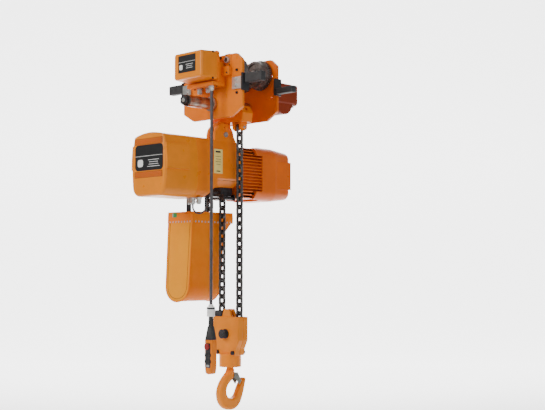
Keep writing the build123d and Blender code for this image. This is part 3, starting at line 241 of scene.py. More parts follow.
def bracket(name, reach=0.1805):
    """Zinc plate on the brackets' flats, black paint on the arms beyond the side plates."""
    made, tree, shader, place = new_material(name, 0.36)
    split = node(tree, "ShaderNodeSeparateXYZ")
    link(tree, place, split.inputs["Vector"])
    size = node(tree, "ShaderNodeMath", operation="ABSOLUTE")
    link(tree, split.outputs["X"], size.inputs[0])
    beyond = node(tree, "ShaderNodeMath", operation="GREATER_THAN")
    beyond.inputs[1].default_value = reach
    link(tree, size.outputs["Value"], beyond.inputs[0])
    cloud = spread(tree, noise_at(tree, place, 40.0, 5.0), 0, 1)
    bright = mixed(tree, cloud, (0.72, 0.72, 0.7), (0.5, 0.49, 0.46))
    link(tree, mixed(tree, beyond.outputs["Value"], bright, (0.03, 0.03, 0.033)), shader.inputs["Base Color"])
    shine = node(tree, "ShaderNodeMath", operation="MULTIPLY_ADD")
    shine.inputs[1].default_value, shine.inputs[2].default_value = -0.8, 0.9
    link(tree, beyond.outputs["Value"], shine.inputs[0])
    link(tree, shine.outputs["Value"], shader.inputs["Metallic"])
    bumped(tree, shader, noise_at(tree, place, 1200.0, 2.0), 0.15, 0.0002, 0.0006)
    return made


def canvas(name, colour, shade, thread=520.0):
    """Coated woven fabric: a fine over-and-under weave, with creases and faint soiling."""
    made, tree, shader, place = new_material(name, 0.62, sheen=0.04)
    shader.inputs["Specular IOR Level"].default_value = 0.2
    shader.inputs["Sheen Roughness"].default_value = 0.5
    split = node(tree, "ShaderNodeSeparateXYZ")
    link(tree, place, split.inputs["Vector"])
    flat = node(tree, "ShaderNodeMath", operation="ADD")
    link(tree, split.outputs["X"], flat.inputs[0])
    link(tree, split.outputs["Y"], flat.inputs[1])
    waves = []
    for source in (flat.outputs["Value"], split.outputs["Z"]):
        scaled = node(tree, "ShaderNodeMath", operation="MULTIPLY")
        scaled.inputs[1].default_value = 2 * math.pi * thread
        link(tree, source, scaled.inputs[0])
        wave = node(tree, "ShaderNodeMath", operation="SINE")
        link(tree, scaled.outputs["Value"], wave.inputs[0])
        waves.append(wave.outputs["Value"])
    weave = node(tree, "ShaderNodeMath", operation="MULTIPLY")
    link(tree, waves[0], weave.inputs[0])
    link(tree, waves[1], weave.inputs[1])
    base = mixed(tree, spread(tree, noise_at(tree, place, 7.0, 5.0), 0, 1), colour, shade)
    soil = spread(tree, noise_at(tree, place, 60.0, 6.0, 0.7), 0, 0.08)
    base = mixed(tree, soil, base, tuple(c * 0.4 for c in shade))
    link(tree, base, shader.inputs["Base Color"])
    bumped(tree, shader, weave.outputs["Value"], 0.3, 0.0003)
    return made


PALE, DUST = (0.95, 0.42, 0.06), (0.5, 0.16, 0.01)
M = {
    # A lit copy of the main paint: its yellower tone is painted light on the covers that face the key lamp.
    "light": paint("paint_lit_copy", (0.95, 0.27, 0.0), PALE, DUST),
    "main": paint("paint_main", (0.95, 0.22, 0.0), PALE, DUST),
    # A shaded copy of the main paint, darker and redder: painted shade on the motor, fan cover, rear plate
    # and louvre slats.
    "deep": paint("paint_deep", (0.86, 0.15, 0.0), (0.9, 0.3, 0.03), (0.4, 0.08, 0.0)),
    # The darkest copy of the paint: painted shade on the rear travel drive, not corrosion.
    "darkest_shade_copy": paint("paint_darkest_shade_copy", (0.27, 0.028, 0.0), (0.4, 0.09, 0.02), (0.1, 0.015, 0.0), roughness=0.5),
    # A dark copy of the paint for the louvre band: painted shade in the slots.
    "louvre_shade": paint("paint_louvre_shade", (0.42, 0.1, 0.0), (0.6, 0.2, 0.02), (0.25, 0.06, 0.0), roughness=0.5),
    # The casting's coarse grain and peel are its own; its yellower tone is painted light, the same lit tone
    # as the covers.
    "cast": paint("paint_cast", (0.97, 0.27, 0.0), (0.97, 0.5, 0.12), DUST,
                  roughness=0.42, peel=0.4, grain=420.0, scuffed_lit_edge_amount=0.25),
    "zinc": steel("zinc_plate", (0.72, 0.72, 0.7), (0.5, 0.49, 0.46), 0.36),
    "chain": steel("chain_steel", (0.14, 0.135, 0.135), (0.06, 0.055, 0.055), 0.42, 90.0, 0.85),
    "dark": steel("black_steel", (0.09, 0.09, 0.1), (0.04, 0.038, 0.038), 0.4, 70.0, 0.8),
    "wheel": steel("wheel_steel", (0.3, 0.28, 0.27), (0.14, 0.12, 0.11), 0.45, 55.0, 0.85),
    "gear": steel("gear_steel", (0.5, 0.5, 0.5), (0.34, 0.33, 0.32), 0.33),
    "latch": steel("latch_steel", (0.36, 0.38, 0.34), (0.24, 0.25, 0.22), 0.48, 50.0, 0.7),
    "washers": washers(),
    "bracket": bracket("bracket_steel"),
    "rubber": moulded("rubber", (0.018, 0.018, 0.02), 0.62, 800.0, 0.4),
    "black": moulded("black_plastic", (0.022, 0.022, 0.025), 0.42),
    "cable": moulded("cable_sheath", (0.05, 0.045, 0.05), 0.48, 500.0, 0.2),
    "grey": moulded("grey_plastic", (0.32, 0.33, 0.33), 0.45),
    "white": moulded("white_plastic", (0.8, 0.8, 0.79), 0.38, 1000.0, 0.15, 0.0),
    "label": moulded("label_black", (0.004, 0.004, 0.005), 0.45, 260.0, 0.02, 0.02),
    "print": moulded("label_print", (0.85, 0.85, 0.83), 0.4, 700.0, 0.05, 0.0),
    "sticker": moulded("sticker_yellow", (0.85, 0.62, 0.18), 0.35, 300.0, 0.05, 0.0),
    "green": moulded("tag_green", (0.02, 0.24, 0.06), 0.5, 500.0, 0.3),
    "red": moulded("stop_red", (0.28, 0.012, 0.01), 0.34, 900.0, 0.1),
    "bag": canvas("bag_side", (0.95, 0.25, 0.0), (0.92, 0.2, 0.0)),
    # A lighter, yellower copy of the side cloth: painted light on the front panel that faces the key lamp.
    "bag_lit_front": canvas("bag_lit_front", (0.97, 0.37, 0.0), (0.95, 0.32, 0.0)),
    "bag_inside": canvas("bag_inside", (0.5, 0.12, 0.005), (0.36, 0.07, 0.0)),
}


def coat(key, *names):
    """Give CAD nodes one of the materials."""
    for name in names:
        slots = NODES[name].data.materials
        slots.clear()
        slots.append(M[key])


# The labelled covers take the lit copy of the paint: painted light.
coat("light", "control_cover", "control_box_cover")
coat("main", "hoist_frame", "front_side_plate", "control_box_base", "suspension_yoke",
     "pendant_case_front", "pendant_case_rear")
# Motor, fan cover and rear plate take the shaded copy of the paint: painted shade.
coat("deep", "motor_housing", "fan_cover", "rear_side_plate")
# The rear travel drive takes the darkest copy of the paint: painted shade.
coat("darkest_shade_copy", "travel_gear_case", "travel_motor_cover")
coat("cast", "block_shell_front", "block_shell_rear", "hook")
coat("zinc", "suspension_shaft", "suspension_pins", "wheel_axles")
coat("dark", "trolley_nuts")
coat("bracket", "bumper_brackets")
coat("wheel", "wheel_front_left", "wheel_front_right", "wheel_rear_left", "wheel_rear_right", "travel_pinion")
coat("gear", "clutch_gear", "countershaft", "load_sheave", "idle_sheave", "motor_rotor", "travel_rotor",
     "brake_disc", "hook_nut")
coat("dark", "bag_hanger", "block_pins", "hoist_screws", "motor_stator", "limit_lever", "chain_guide")
coat("chain", "load_chain_upper", "load_chain_lower")
coat("latch", "safety_latch")
coat("rubber", "bumpers", "chain_stop", "pendant_boot", "up_button", "down_button", "left_button",
     "right_button")
coat("black", "contactor_panel", "cooling_fan", "limit_cable")
coat("zinc", "trolley_glands", "hoist_glands")
coat("white", "cable_clamp")
coat("red", "stop_button")
coat("cable", "pendant_cable")
coat("washers", "shaft_spacers")


# ---------------------------------------------------------------- mesh tools
def finish_piece(name, bm, material, body, angle=35):
    """Turn a bmesh into a piece that rides on a body, smooth except at sharp corners."""
    bmesh.ops.remove_doubles(bm, verts=bm.verts, dist=1e-6)
    bmesh.ops.recalc_face_normals(bm, faces=bm.faces)
    data = bpy.data.meshes.new(name)
    bm.to_mesh(data)
    bm.free()
    for face in data.polygons:
        face.use_smooth = True
    data.set_sharp_from_angle(angle=math.radians(angle))
    data.materials.append(material)
    made = bpy.data.objects.new(name, data)
    bpy.context.scene.collection.objects.link(made)
    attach(made, body)
    return made


def basis(axis):
    """Two unit vectors square to an axis."""
    axis = Vector(axis).normalized()
    side = Z.cross(axis) if abs(axis.z) < 0.9 else X.cross(axis)
    side.normalize()
    return side, axis.cross(side)


def turned(bm, start, axis, profile, sides=40, spin=0.0):
    """Turned solid on an axis from a profile of (radius, height) in mm; six sides make a hexagon."""
    start, axis = Vector(start), Vector(axis).normalized()
    one, two = basis(axis)
    rings = []
    for radius, height in profile:
        centre = start + axis * height * MM
        if radius < 1e-6:
            rings.append([bm.verts.new(centre)])
            continue
        ring = []
        for n in range(sides):
            turn = spin + 2 * math.pi * n / sides
            ring.append(bm.verts.new(centre + (one * math.cos(turn) + two * math.sin(turn)) * radius * MM))
        rings.append(ring)
    for low, high in zip(rings, rings[1:]):
        for n in range(sides):
            m = (n + 1) % sides
            corners = [low[n % len(low)], low[m % len(low)], high[m % len(high)], high[n % len(high)]]
            corners = list(dict.fromkeys(corners))
            if len(corners) > 2:
                bm.faces.new(corners)
    for ring in (rings[0], rings[-1]):
        if len(ring) > 2:
            bm.faces.new(ring)


def plate(bm, centre, right, up, width, height, thick, radius=2.0, bevel=0.4, steps=6):
    """Rounded plate in mm, standing off a face on its back; its front edge is bevelled."""
    centre, right, up = Vector(centre), Vector(right).normalized(), Vector(up).normalized()
    out = right.cross(up)
    rings = []
    for inset, lift in ((0, 0), (0, thick - bevel), (bevel, thick)):
        ring = []
        w, h, r = width / 2 - inset, height / 2 - inset, max(radius - inset, 0.05)
        for corner, (sx, sy) in enumerate(((1, 1), (-1, 1), (-1, -1), (1, -1))):
            for n in range(steps + 1):
                turn = math.pi / 2 * (corner + n / steps)
                x = sx * (w - r) + r * math.cos(turn)
                y = sy * (h - r) + r * math.sin(turn)
                ring.append(bm.verts.new(centre + (right * x + up * y + out * lift) * MM))
        rings.append(ring)
    count = len(rings[0])
    for low, high in zip(rings, rings[1:]):
        for n in range(count):
            m = (n + 1) % count
            bm.faces.new((low[n], low[m], high[m], high[n]))
    bm.faces.new(rings[0])
    bm.faces.new(rings[-1])


def hex_bolt(bm, at, axis, size, head=None):
    """Washer and chamfered hexagon head; size is the radius to the corners, in mm."""
    head = head or size * 0.75
    turned(bm, at, axis, [(size * 1.2, 0), (size * 1.2, 1.4), (size * 1.12, 1.7), (size * 0.9, 1.7)])
    turned(bm, at, axis, [(size, 1.6), (size, head + 1.1), (size * 0.86, head + 1.7)], sides=6, spin=0.3)


def socket_screw(bm, at, axis, size):
    """Round cap screw with its hexagon socket."""
    turned(bm, at, axis, [(size, 0), (size, size * 0.8), (size * 0.88, size), (size * 0.56, size)])
    turned(bm, at, axis, [(size * 0.56, size), (size * 0.5, size * 0.35), (0, size * 0.3)], sides=6)


def screws(name, spots, axis, size, body, key, shape=socket_screw):
    """One piece holding the same screw at several spots."""
    bm = bmesh.new()
    for spot in spots:
        shape(bm, Vector(spot) * MM, axis, size)
    return finish_piece(name, bm, M[key], body)


def rounded_casting(name, voxel, passes, factor=0.5):
    """Softens a CAD node's edges as casting or forging does, without moving its mesh."""
    obj = NODES[name]
    remesh = obj.modifiers.new("skin", "REMESH")
    remesh.mode, remesh.voxel_size, remesh.use_smooth_shade = "VOXEL", voxel, True
    smooth = obj.modifiers.new("soften", "SMOOTH")
    smooth.factor, smooth.iterations = factor, passes


# ---------------------------------------------------------------- pendant cable
# The cable's route, from the gland under the trolley down to the pendant's clamp.
CABLE = [(0.062, -0.170, -0.036), (0.062, -0.170, -0.096), (0.062, -0.170, -0.480),
         (0.062, -0.170, -0.864), (0.062, -0.170, -0.924)]
CABLE_RADIUS = 0.0065

curve = bpy.data.curves.new("pendant_flex", "CURVE")
curve.dimensions = "3D"
curve.bevel_depth, curve.bevel_resolution, curve.use_fill_caps = CABLE_RADIUS, 6, True
line = curve.splines.new("NURBS")
line.points.add(len(CABLE) - 1)
for point, spot in zip(line.points, CABLE):
    point.co = (*spot, 1)
line.order_u = 3
line.use_endpoint_u = True
line.resolution_u = 12
curve.materials.append(M["cable"])
pendant_flex = bpy.data.objects.new("pendant_flex", curve)
bpy.context.scene.collection.objects.link(pendant_flex)
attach(pendant_flex, "pendant")
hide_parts("pendant_cable")


# ---------------------------------------------------------------- labels
def label(name, centre, width, height, radius, body, bars, thick=1.2, right=X, up=Z, key="label"):
    """Black panel with a pale dividing line and abstract bars where print would be."""
    bm = bmesh.new()
    plate(bm, Vector(centre) * MM, right, up, width, height, thick, radius)
    finish_piece(name, bm, M[key], body)
    bm = bmesh.new()
    lift = right.cross(up) * (thick + 0.02)
    for x, z, w, h in bars:
        spot = Vector(centre) + right * x + up * z + lift
        plate(bm, spot * MM, right, up, w, h, 0.25, min(w, h) * 0.3, 0.08, 3)
    finish_piece(name + "_bars", bm, M["print"], body)


def small_print(x, z, width, rows, columns, pitch):
    """Rows of thin plain lines in columns."""
    bars = []
    step = width / columns
    for row in range(rows):
        for column in range(columns):
            share = 0.75 + 0.15 * math.sin(5 * row + 3 * column)
            bars.append((x + column * step, z - row * pitch, step * share, pitch * 0.22))
    return bars


cover_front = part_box("control_cover")[0].y / MM
label("cover_label", (-84, cover_front, -318), 176, 106, 17, "hoist",
      [(0, 7, 172, 1.6), (-54, -22, 34, 30)] + small_print(30, -10, 92, 4, 1, 9))
box_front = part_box("control_box_cover")[0].y / MM
label("box_label", (-3, box_front, 77), 106, 72, 3, "trolley",
      [(0, 8, 102, 1.4), (-36, -13, 20, 22)] + small_print(16, -3, 60, 3, 1, 8))

frame_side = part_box("hoist_frame")[1].x / MM


LOUVRE_LEFT, LOUVRE_RIGHT = -176, 1


def louvre(name, low, high, pitch=11.0, width=5.6, slope=34):
    """Raised slats that lean over a darker band of the cover's face, clipped to the band; the band is painted
    shade between the slats and the slats a shaded copy of the paint.
    """
    middle = Vector(((LOUVRE_LEFT + LOUVRE_RIGHT) / 2, cover_front, (low + high) / 2))
    bm = bmesh.new()
    plate(bm, middle * MM, X, Z, LOUVRE_RIGHT - LOUVRE_LEFT, high - low + 4, 0.4, 3, 0.15)
    # The band under the slats is painted shade.
    finish_piece(name + "_band", bm, M["louvre_shade"], "hoist")
    lean = (high - low) / math.tan(math.radians(slope))
    start, end = LOUVRE_LEFT + 2, LOUVRE_RIGHT - 2
    bm = bmesh.new()
    foot = start + pitch / 2
    while foot < end + lean:
        bottom = max(0, (foot + width - end) / lean)
        top = min(1, (foot - start) / lean)
        if top - bottom > 0.15:
            rings = []
            for lift, inset in ((0.3, 0), (1.2, 0), (1.5, 0.4)):
                rings.append([bm.verts.new(Vector((foot + side - lean * t, cover_front - lift,
                                                   low + (high - low) * t)) * MM)
                              for side, t in ((inset, bottom), (width - inset, bottom),
                                              (width - inset, top), (inset, top))])
            for below, above in zip(rings, rings[1:]):
                for n in range(4):
                    m = (n + 1) % 4
                    bm.faces.new((below[n], below[m], above[m], above[n]))
            bm.faces.new(rings[0])
            bm.faces.new(rings[-1])
        foot += pitch
    # The slats take the shaded copy of the paint: painted shade.
    finish_piece(name + "_slats", bm, M["deep"], "hoist")


louvre("louvre_top", -262, -240)
louvre("louvre_foot", -398, -376)


def sticker():
    """Plain yellow sticker with a dark head bar and a few plain lines."""
    middle = Vector((frame_side - 0.5, -90, -320))
    bm = bmesh.new()
    plate(bm, middle * MM, Y, Z, 50, 104, 1.2, 3, 0.2)
    finish_piece("frame_sticker", bm, M["sticker"], "hoist")
    bm = bmesh.new()
    plate(bm, (middle + Vector((1.22, -2, 40))) * MM, Y, Z, 28, 7, 0.2, 1, 0.05)
    for row, width in enumerate((34, 30, 34, 24)):
        plate(bm, (middle + Vector((1.22, 0, 20 - 11 * row))) * MM, Y, Z, width, 1.6, 0.2, 0.6, 0.05)
    plate(bm, (middle + Vector((1.22, 0, -42))) * MM, Y, Z, 22, 4, 0.2, 1, 0.05)
    finish_piece("frame_sticker_marks", bm, M["label"], "hoist")


sticker()


# ---------------------------------------------------------------- fasteners and fittings
base_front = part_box("control_box_base")[0].y / MM
screws("box_screws", [(x, base_front - 0.1, z) for x in (-88, 88) for z in (14, 124)], FRONT, 4.5,
       "trolley", "dark")
screws("base_screws", [(x, -156, -14.2) for x in (-58, -8, 34, 78)], -Z, 3.4,
       "trolley", "dark")
plate_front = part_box("front_side_plate")[0].y / MM
screws("bracket_bolts", [(x, plate_front - 8, z) for x in (-150, 150) for z in (-14, 12)], FRONT, 7,
       "trolley", "zinc", hex_bolt)
screws("plate_screws", [(150, plate_front, 50), (150, plate_front, -45), (-150, plate_front, 50),
                        (-150, plate_front, -45), (52, plate_front, 112), (-120, plate_front, 96)],
       FRONT, 5.5, "trolley", "dark")
motor_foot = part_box("travel_motor_cover")
screws("drive_bolts", [(x, y, -43) for x in (-50, 50) for y in (186, 212, 338)], -Z, 5,
       "trolley", "dark", hex_bolt)
screws("drive_end_bolts", [(x, motor_foot[1].y / MM, z) for x in (-50, 50) for z in (-24, 42)], Y, 4.5,
       "trolley", "dark")


SOCKET_X, SOCKET_Z = 99, 97


def limit_socket():
    """Small plate beside the control box with a round socket in a bright ring."""
    at = Vector((SOCKET_X, plate_front, SOCKET_Z))
    bm = bmesh.new()
    plate(bm, at * MM, X, Z, 34, 52, 5, 4, 0.8)
    finish_piece("socket_plate", bm, M["main"], "trolley")
    bm = bmesh.new()
    turned(bm, (at + FRONT * 5) * MM, FRONT, [(14, 0), (14, 9), (12.5, 11), (9, 11), (8.5, 6), (0, 6)])
    finish_piece("socket_ring", bm, M["zinc"], "trolley")
    bm = bmesh.new()
    turned(bm, (at + FRONT * 10) * MM, FRONT, [(8.4, 0), (8.4, 4), (6.5, 6), (0, 6.4)])
    finish_piece("socket_core", bm, M["black"], "trolley")
    screws("socket_screws", [(SOCKET_X - 12, plate_front - 5, SOCKET_Z + 21),
                             (SOCKET_X + 12, plate_front - 5, SOCKET_Z - 21)],
           FRONT, 2.6, "trolley", "dark")
    bm = bmesh.new()
    plate(bm, Vector((SOCKET_X - 3, plate_front, SOCKET_Z - 47)) * MM, X, Z, 48, 40, 21, 9, 4)
    finish_piece("socket_block", bm, M["main"], "trolley")
    screws("socket_block_screw", [(SOCKET_X + 12, plate_front - 21, SOCKET_Z - 56)], FRONT, 3.2,
           "trolley", "dark")


limit_socket()


def block_details():
    """Axle head with its pressed disc on each face of the block; the rubber stop's knob and ribs."""
    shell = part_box("block_shell_front")[0].y / MM
    bm = bmesh.new()
    for way, start in ((-1, shell), (1, -shell)):
        turned(bm, Vector((0, start + way * 2.9, -1048)) * MM, Y * way,
               [(19.5, 0), (19.5, 1.5), (18, 2.6), (10, 2.6), (9, 1.8), (0, 1.8)])
    finish_piece("axle_heads", bm, M["dark"], "hook_block")
    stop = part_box("chain_stop")
    bm = bmesh.new()
    at = Vector((stop[1].x / MM - 1, 0, (stop[0].z + stop[1].z) / 2 / MM))
    turned(bm, at * MM, X, [(5, 0), (5, 6), (8.5, 7), (9.5, 10), (9.5, 19), (8, 22), (4, 23.4), (0, 23.8)])
    finish_piece("stop_knob", bm, M["black"], "hook_block")
    bm = bmesh.new()
    for z in (stop[0].z / MM + 6, stop[1].z / MM - 6):
        middle = Vector(((stop[0].x + stop[1].x) / 2 / MM, stop[0].y / MM, z)) * MM
        plate(bm, middle, X, Z, 30, 2.4, 0.9, 1, 0.3)
    finish_piece("stop_ribs", bm, M["rubber"], "hook_block")


block_details()

rounded_casting("hook", 0.002, 14)
rounded_casting("block_shell_front", 0.0016, 6)
rounded_casting("block_shell_rear", 0.0016, 6)


def pendant_details():
    """Ring over the clamp, ribs round the boot's neck, panel, button rims and a grey plate."""
    x, y = CABLE[0][0] / MM, CABLE[0][1] / MM
    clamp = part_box("cable_clamp")
    bm = bmesh.new()
    top = clamp[1].z / MM
    turned(bm, Vector((x, y, top - 14)) * MM, Z, [(16.6, 0), (17.4, 0.8), (17.4, 6), (16, 7.4), (12, 7.6)])
    finish_piece("clamp_ring", bm, M["dark"], "pendant")
    bm = bmesh.new()
    foot = clamp[0].z / MM
    turned(bm, Vector((x, y, foot)) * MM, Z, [(16.6, 0), (17.2, 0.6), (17.2, 3), (16.6, 3.6)])
    turned(bm, Vector((x, y, top - 2)) * MM, Z, [(11, 0), (11.4, 1), (10, 5), (7, 7.5), (6.7, 8)])
    finish_piece("clamp_collar", bm, M["white"], "pendant")
    bm = bmesh.new()
    for n in range(6):
        z = foot - 4 - 6.4 * n
        radius = 10 + 0.15 * n
        turned(bm, Vector((x, y, z)) * MM, -Z,
               [(radius - 1, 0), (radius + 1.1, 0.9), (radius + 1.1, 2.6), (radius - 1, 3.5)])
    finish_piece("boot_ribs", bm, M["rubber"], "pendant")
    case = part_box("pendant_case_front")
    front = case[0].y / MM
    bm = bmesh.new()
    plate(bm, Vector((x, front, -1126)) * MM, X, Z, 30, 100, 0.3, 5, 0.1)
    finish_piece("pendant_panel", bm, M["black"], "pendant")
    bm = bmesh.new()
    small = 7.9            # radius of the four direction buttons
    for bx, bz, radius in ((0, -1090, 11.6), (-9, -1124, small), (9, -1124, small),
                           (-9, -1150, small), (9, -1150, small)):
        outside, inside = radius + 2, radius + 0.2
        turned(bm, Vector((x + bx, front - 0.3, bz)) * MM, FRONT,
               [(outside, 0), (outside, 1.2), (radius + 1.4, 1.8), (inside, 1.8), (inside, 0)])
    finish_piece("button_rims", bm, M["rubber"], "pendant")
    bm = bmesh.new()
    plate(bm, Vector((x, front - 0.7, -1168)) * MM, X, Z, 17, 9, 0.5, 1.2, 0.2)
    finish_piece("pendant_plate", bm, M["grey"], "pendant")
    screws("pendant_screws", [(x + sx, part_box("pendant_case_rear")[1].y / MM, z) for sx in (-14, 14)
                              for z in (-1076, -1178)], Y, 2.2, "pendant", "dark")


pendant_details()


# ---------------------------------------------------------------- chain bag
BAG_LOW, BAG_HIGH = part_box("chain_bag")
ROUND = 0.072              # height of the rounded foot
BAND = 0.045               # depth of the turned-over rim
BAG_LEAN = 0.024           # how far the foot swings aside
BAG_DRAWN = 0.2            # share of the depth that the rear draws in below the rim
BAG_BELLY = 0.0035         # how far the cloth swells at half its height


def bag_outline(count):
    """Points down one side, round the foot and up the other, as (x, z), outside of the bag."""
    left, right = BAG_LOW.x, BAG_HIGH.x
    foot, rim = BAG_LOW.z, BAG_HIGH.z
    middle, half = (left + right) / 2, (right - left) / 2
    path = []
    rows = count // 3
    for n in range(rows):
        path.append((left + 0.003 * n / rows, rim + (foot + ROUND - rim) * n / rows))
    for n in range(count - 2 * rows + 1):
        turn = math.pi * n / (count - 2 * rows)
        path.append((middle - (half - 0.003) * math.cos(turn), foot + ROUND - ROUND * math.sin(turn) ** 0.9))
    for n in range(rows, 0, -1):
        path.append((right - 0.003 * (n - 1) / rows, rim + (foot + ROUND - rim) * (n - 1) / rows))
    return path


def slack(point, push):
    """How far the cloth stands out at a point: a soft belly and a few long creases."""
    depth = (BAG_HIGH.z - point.z) / (BAG_HIGH.z - BAG_LOW.z)
    belly = math.sin(math.pi * min(max(depth, 0), 1)) * BAG_BELLY
    crease = noise.noise(Vector((point.x * 16, point.y * 16, point.z * 5))) * 0.0024
    fine = noise.noise(Vector((point.x * 60, point.y * 60, point.z * 26 + 7))) * 0.0006
    return push * (belly + crease + fine)


def bag_panel(sign):
    """Front (-1) or rear (1) panel: a grid drawn in from the outline, crowned a little."""
    bm = bmesh.new()
    path = bag_outline(60)
    wide, rows = 22, len(path) // 2
    face_y = BAG_LOW.y if sign < 0 else BAG_HIGH.y
    grid = []
    for n in range(rows + 1):
        left, right = path[n], path[len(path) - 1 - n]
        row = []
        for k in range(wide + 1):
            share = k / wide
            x = left[0] + (right[0] - left[0]) * share
            z = left[1] + (right[1] - left[1]) * share
            edge = min(share, 1 - share) * (right[0] - left[0])
            crown = 1 - math.exp(-edge / 0.02)
            spot = Vector((x, face_y, z))
            spot.y += sign * slack(spot, 1.0) * crown
            row.append(bm.verts.new(spot))
        grid.append(row)
    for low, high in zip(grid, grid[1:]):
        for k in range(wide):
            bm.faces.new((low[k], low[k + 1], high[k + 1], high[k]))
    return bm


def bag_gusset():
    """The strip that makes the sides and the foot."""
    bm = bmesh.new()
    path = bag_outline(90)
    wide = 34
    middle = Vector(((BAG_LOW.x + BAG_HIGH.x) / 2, 0, BAG_LOW.z + 0.2))
    rows = []
    for x, z in path:
        row = []
        for k in range(wide + 1):
            share = k / wide
            y = BAG_LOW.y + (BAG_HIGH.y - BAG_LOW.y) * share
            spot = Vector((x, y, z))
            crown = 1 - math.exp(-min(share, 1 - share) * (BAG_HIGH.y - BAG_LOW.y) / 0.022)
            out = Vector((x - middle.x, 0, min(z - (BAG_LOW.z + ROUND), 0) * 1.2)).normalized()
            spot += out * slack(spot, 1.0) * crown
            row.append(bm.verts.new(spot))
        rows.append(row)
    for low, high in zip(rows, rows[1:]):
        for k in range(wide):
            bm.faces.new((low[k], low[k + 1], high[k + 1], high[k]))
    return bm


def hung(bm):
    """The weight in the foot swings the bag a little to one side and draws in its rear below the rim."""
    for vert in bm.verts:
        depth = min(max((BAG_HIGH.z - vert.co.z) / (BAG_HIGH.z - BAG_LOW.z), 0), 1)
        vert.co.x -= BAG_LEAN * depth
        drawn = BAG_DRAWN * min(max((depth - 0.1) / 0.14, 0), 1)
        vert.co.y = BAG_LOW.y + (vert.co.y - BAG_LOW.y) * (1 - drawn)


def cloth(name, bm, key, thick=0.0022):
    """A sewn panel that faces outwards, with the cloth's thickness inwards."""
    hung(bm)
    made = finish_piece(name, bm, M[key], "hoist", 60)
    centre = (BAG_LOW + BAG_HIGH) / 2
    if sum(face.normal.dot(face.center - centre) for face in made.data.polygons) < 0:
        made.data.flip_normals()
    made.data.materials.append(M["bag_inside"])
    solid = made.modifiers.new("thickness", "SOLIDIFY")
    solid.thickness, solid.offset = thick, -1
    solid.material_offset = 1
    return made


def tube(bm, points, radius, sides=8, closed=False):
    """Round cord of a seam along a line of points."""
    rings = []
    count = len(points)
    for n, point in enumerate(points):
        before = points[n - 1] if n or closed else point
        after = points[(n + 1) % count] if n < count - 1 or closed else point
        one, two = basis(after - before)
        rings.append([bm.verts.new(point + (one * math.cos(2 * math.pi * k / sides)
                                            + two * math.sin(2 * math.pi * k / sides)) * radius)
                      for k in range(sides)])
    pairs = list(zip(rings, rings[1:])) + ([(rings[-1], rings[0])] if closed else [])
    for low, high in pairs:
        for k in range(sides):
            m = (k + 1) % sides
            bm.faces.new((low[k], low[m], high[m], high[k]))
    if not closed:
        bm.faces.new(rings[0])
        bm.faces.new(rings[-1])


def rim_ring(depth, out, count=24):
    """Points round the rim, a little outside the cloth, at a depth below it."""
    low, high = BAG_LOW, BAG_HIGH
    z = high.z - depth
    corners = [(low.x - out, low.y - out), (high.x + out, low.y - out), (high.x + out, high.y + out),
               (low.x - out, high.y + out)]
    ring = []
    for (x0, y0), (x1, y1) in zip(corners, corners[1:] + corners[:1]):
        for n in range(count):
            share = n / count
            ring.append(Vector((x0 + (x1 - x0) * share, y0 + (y1 - y0) * share, z)))
    return ring


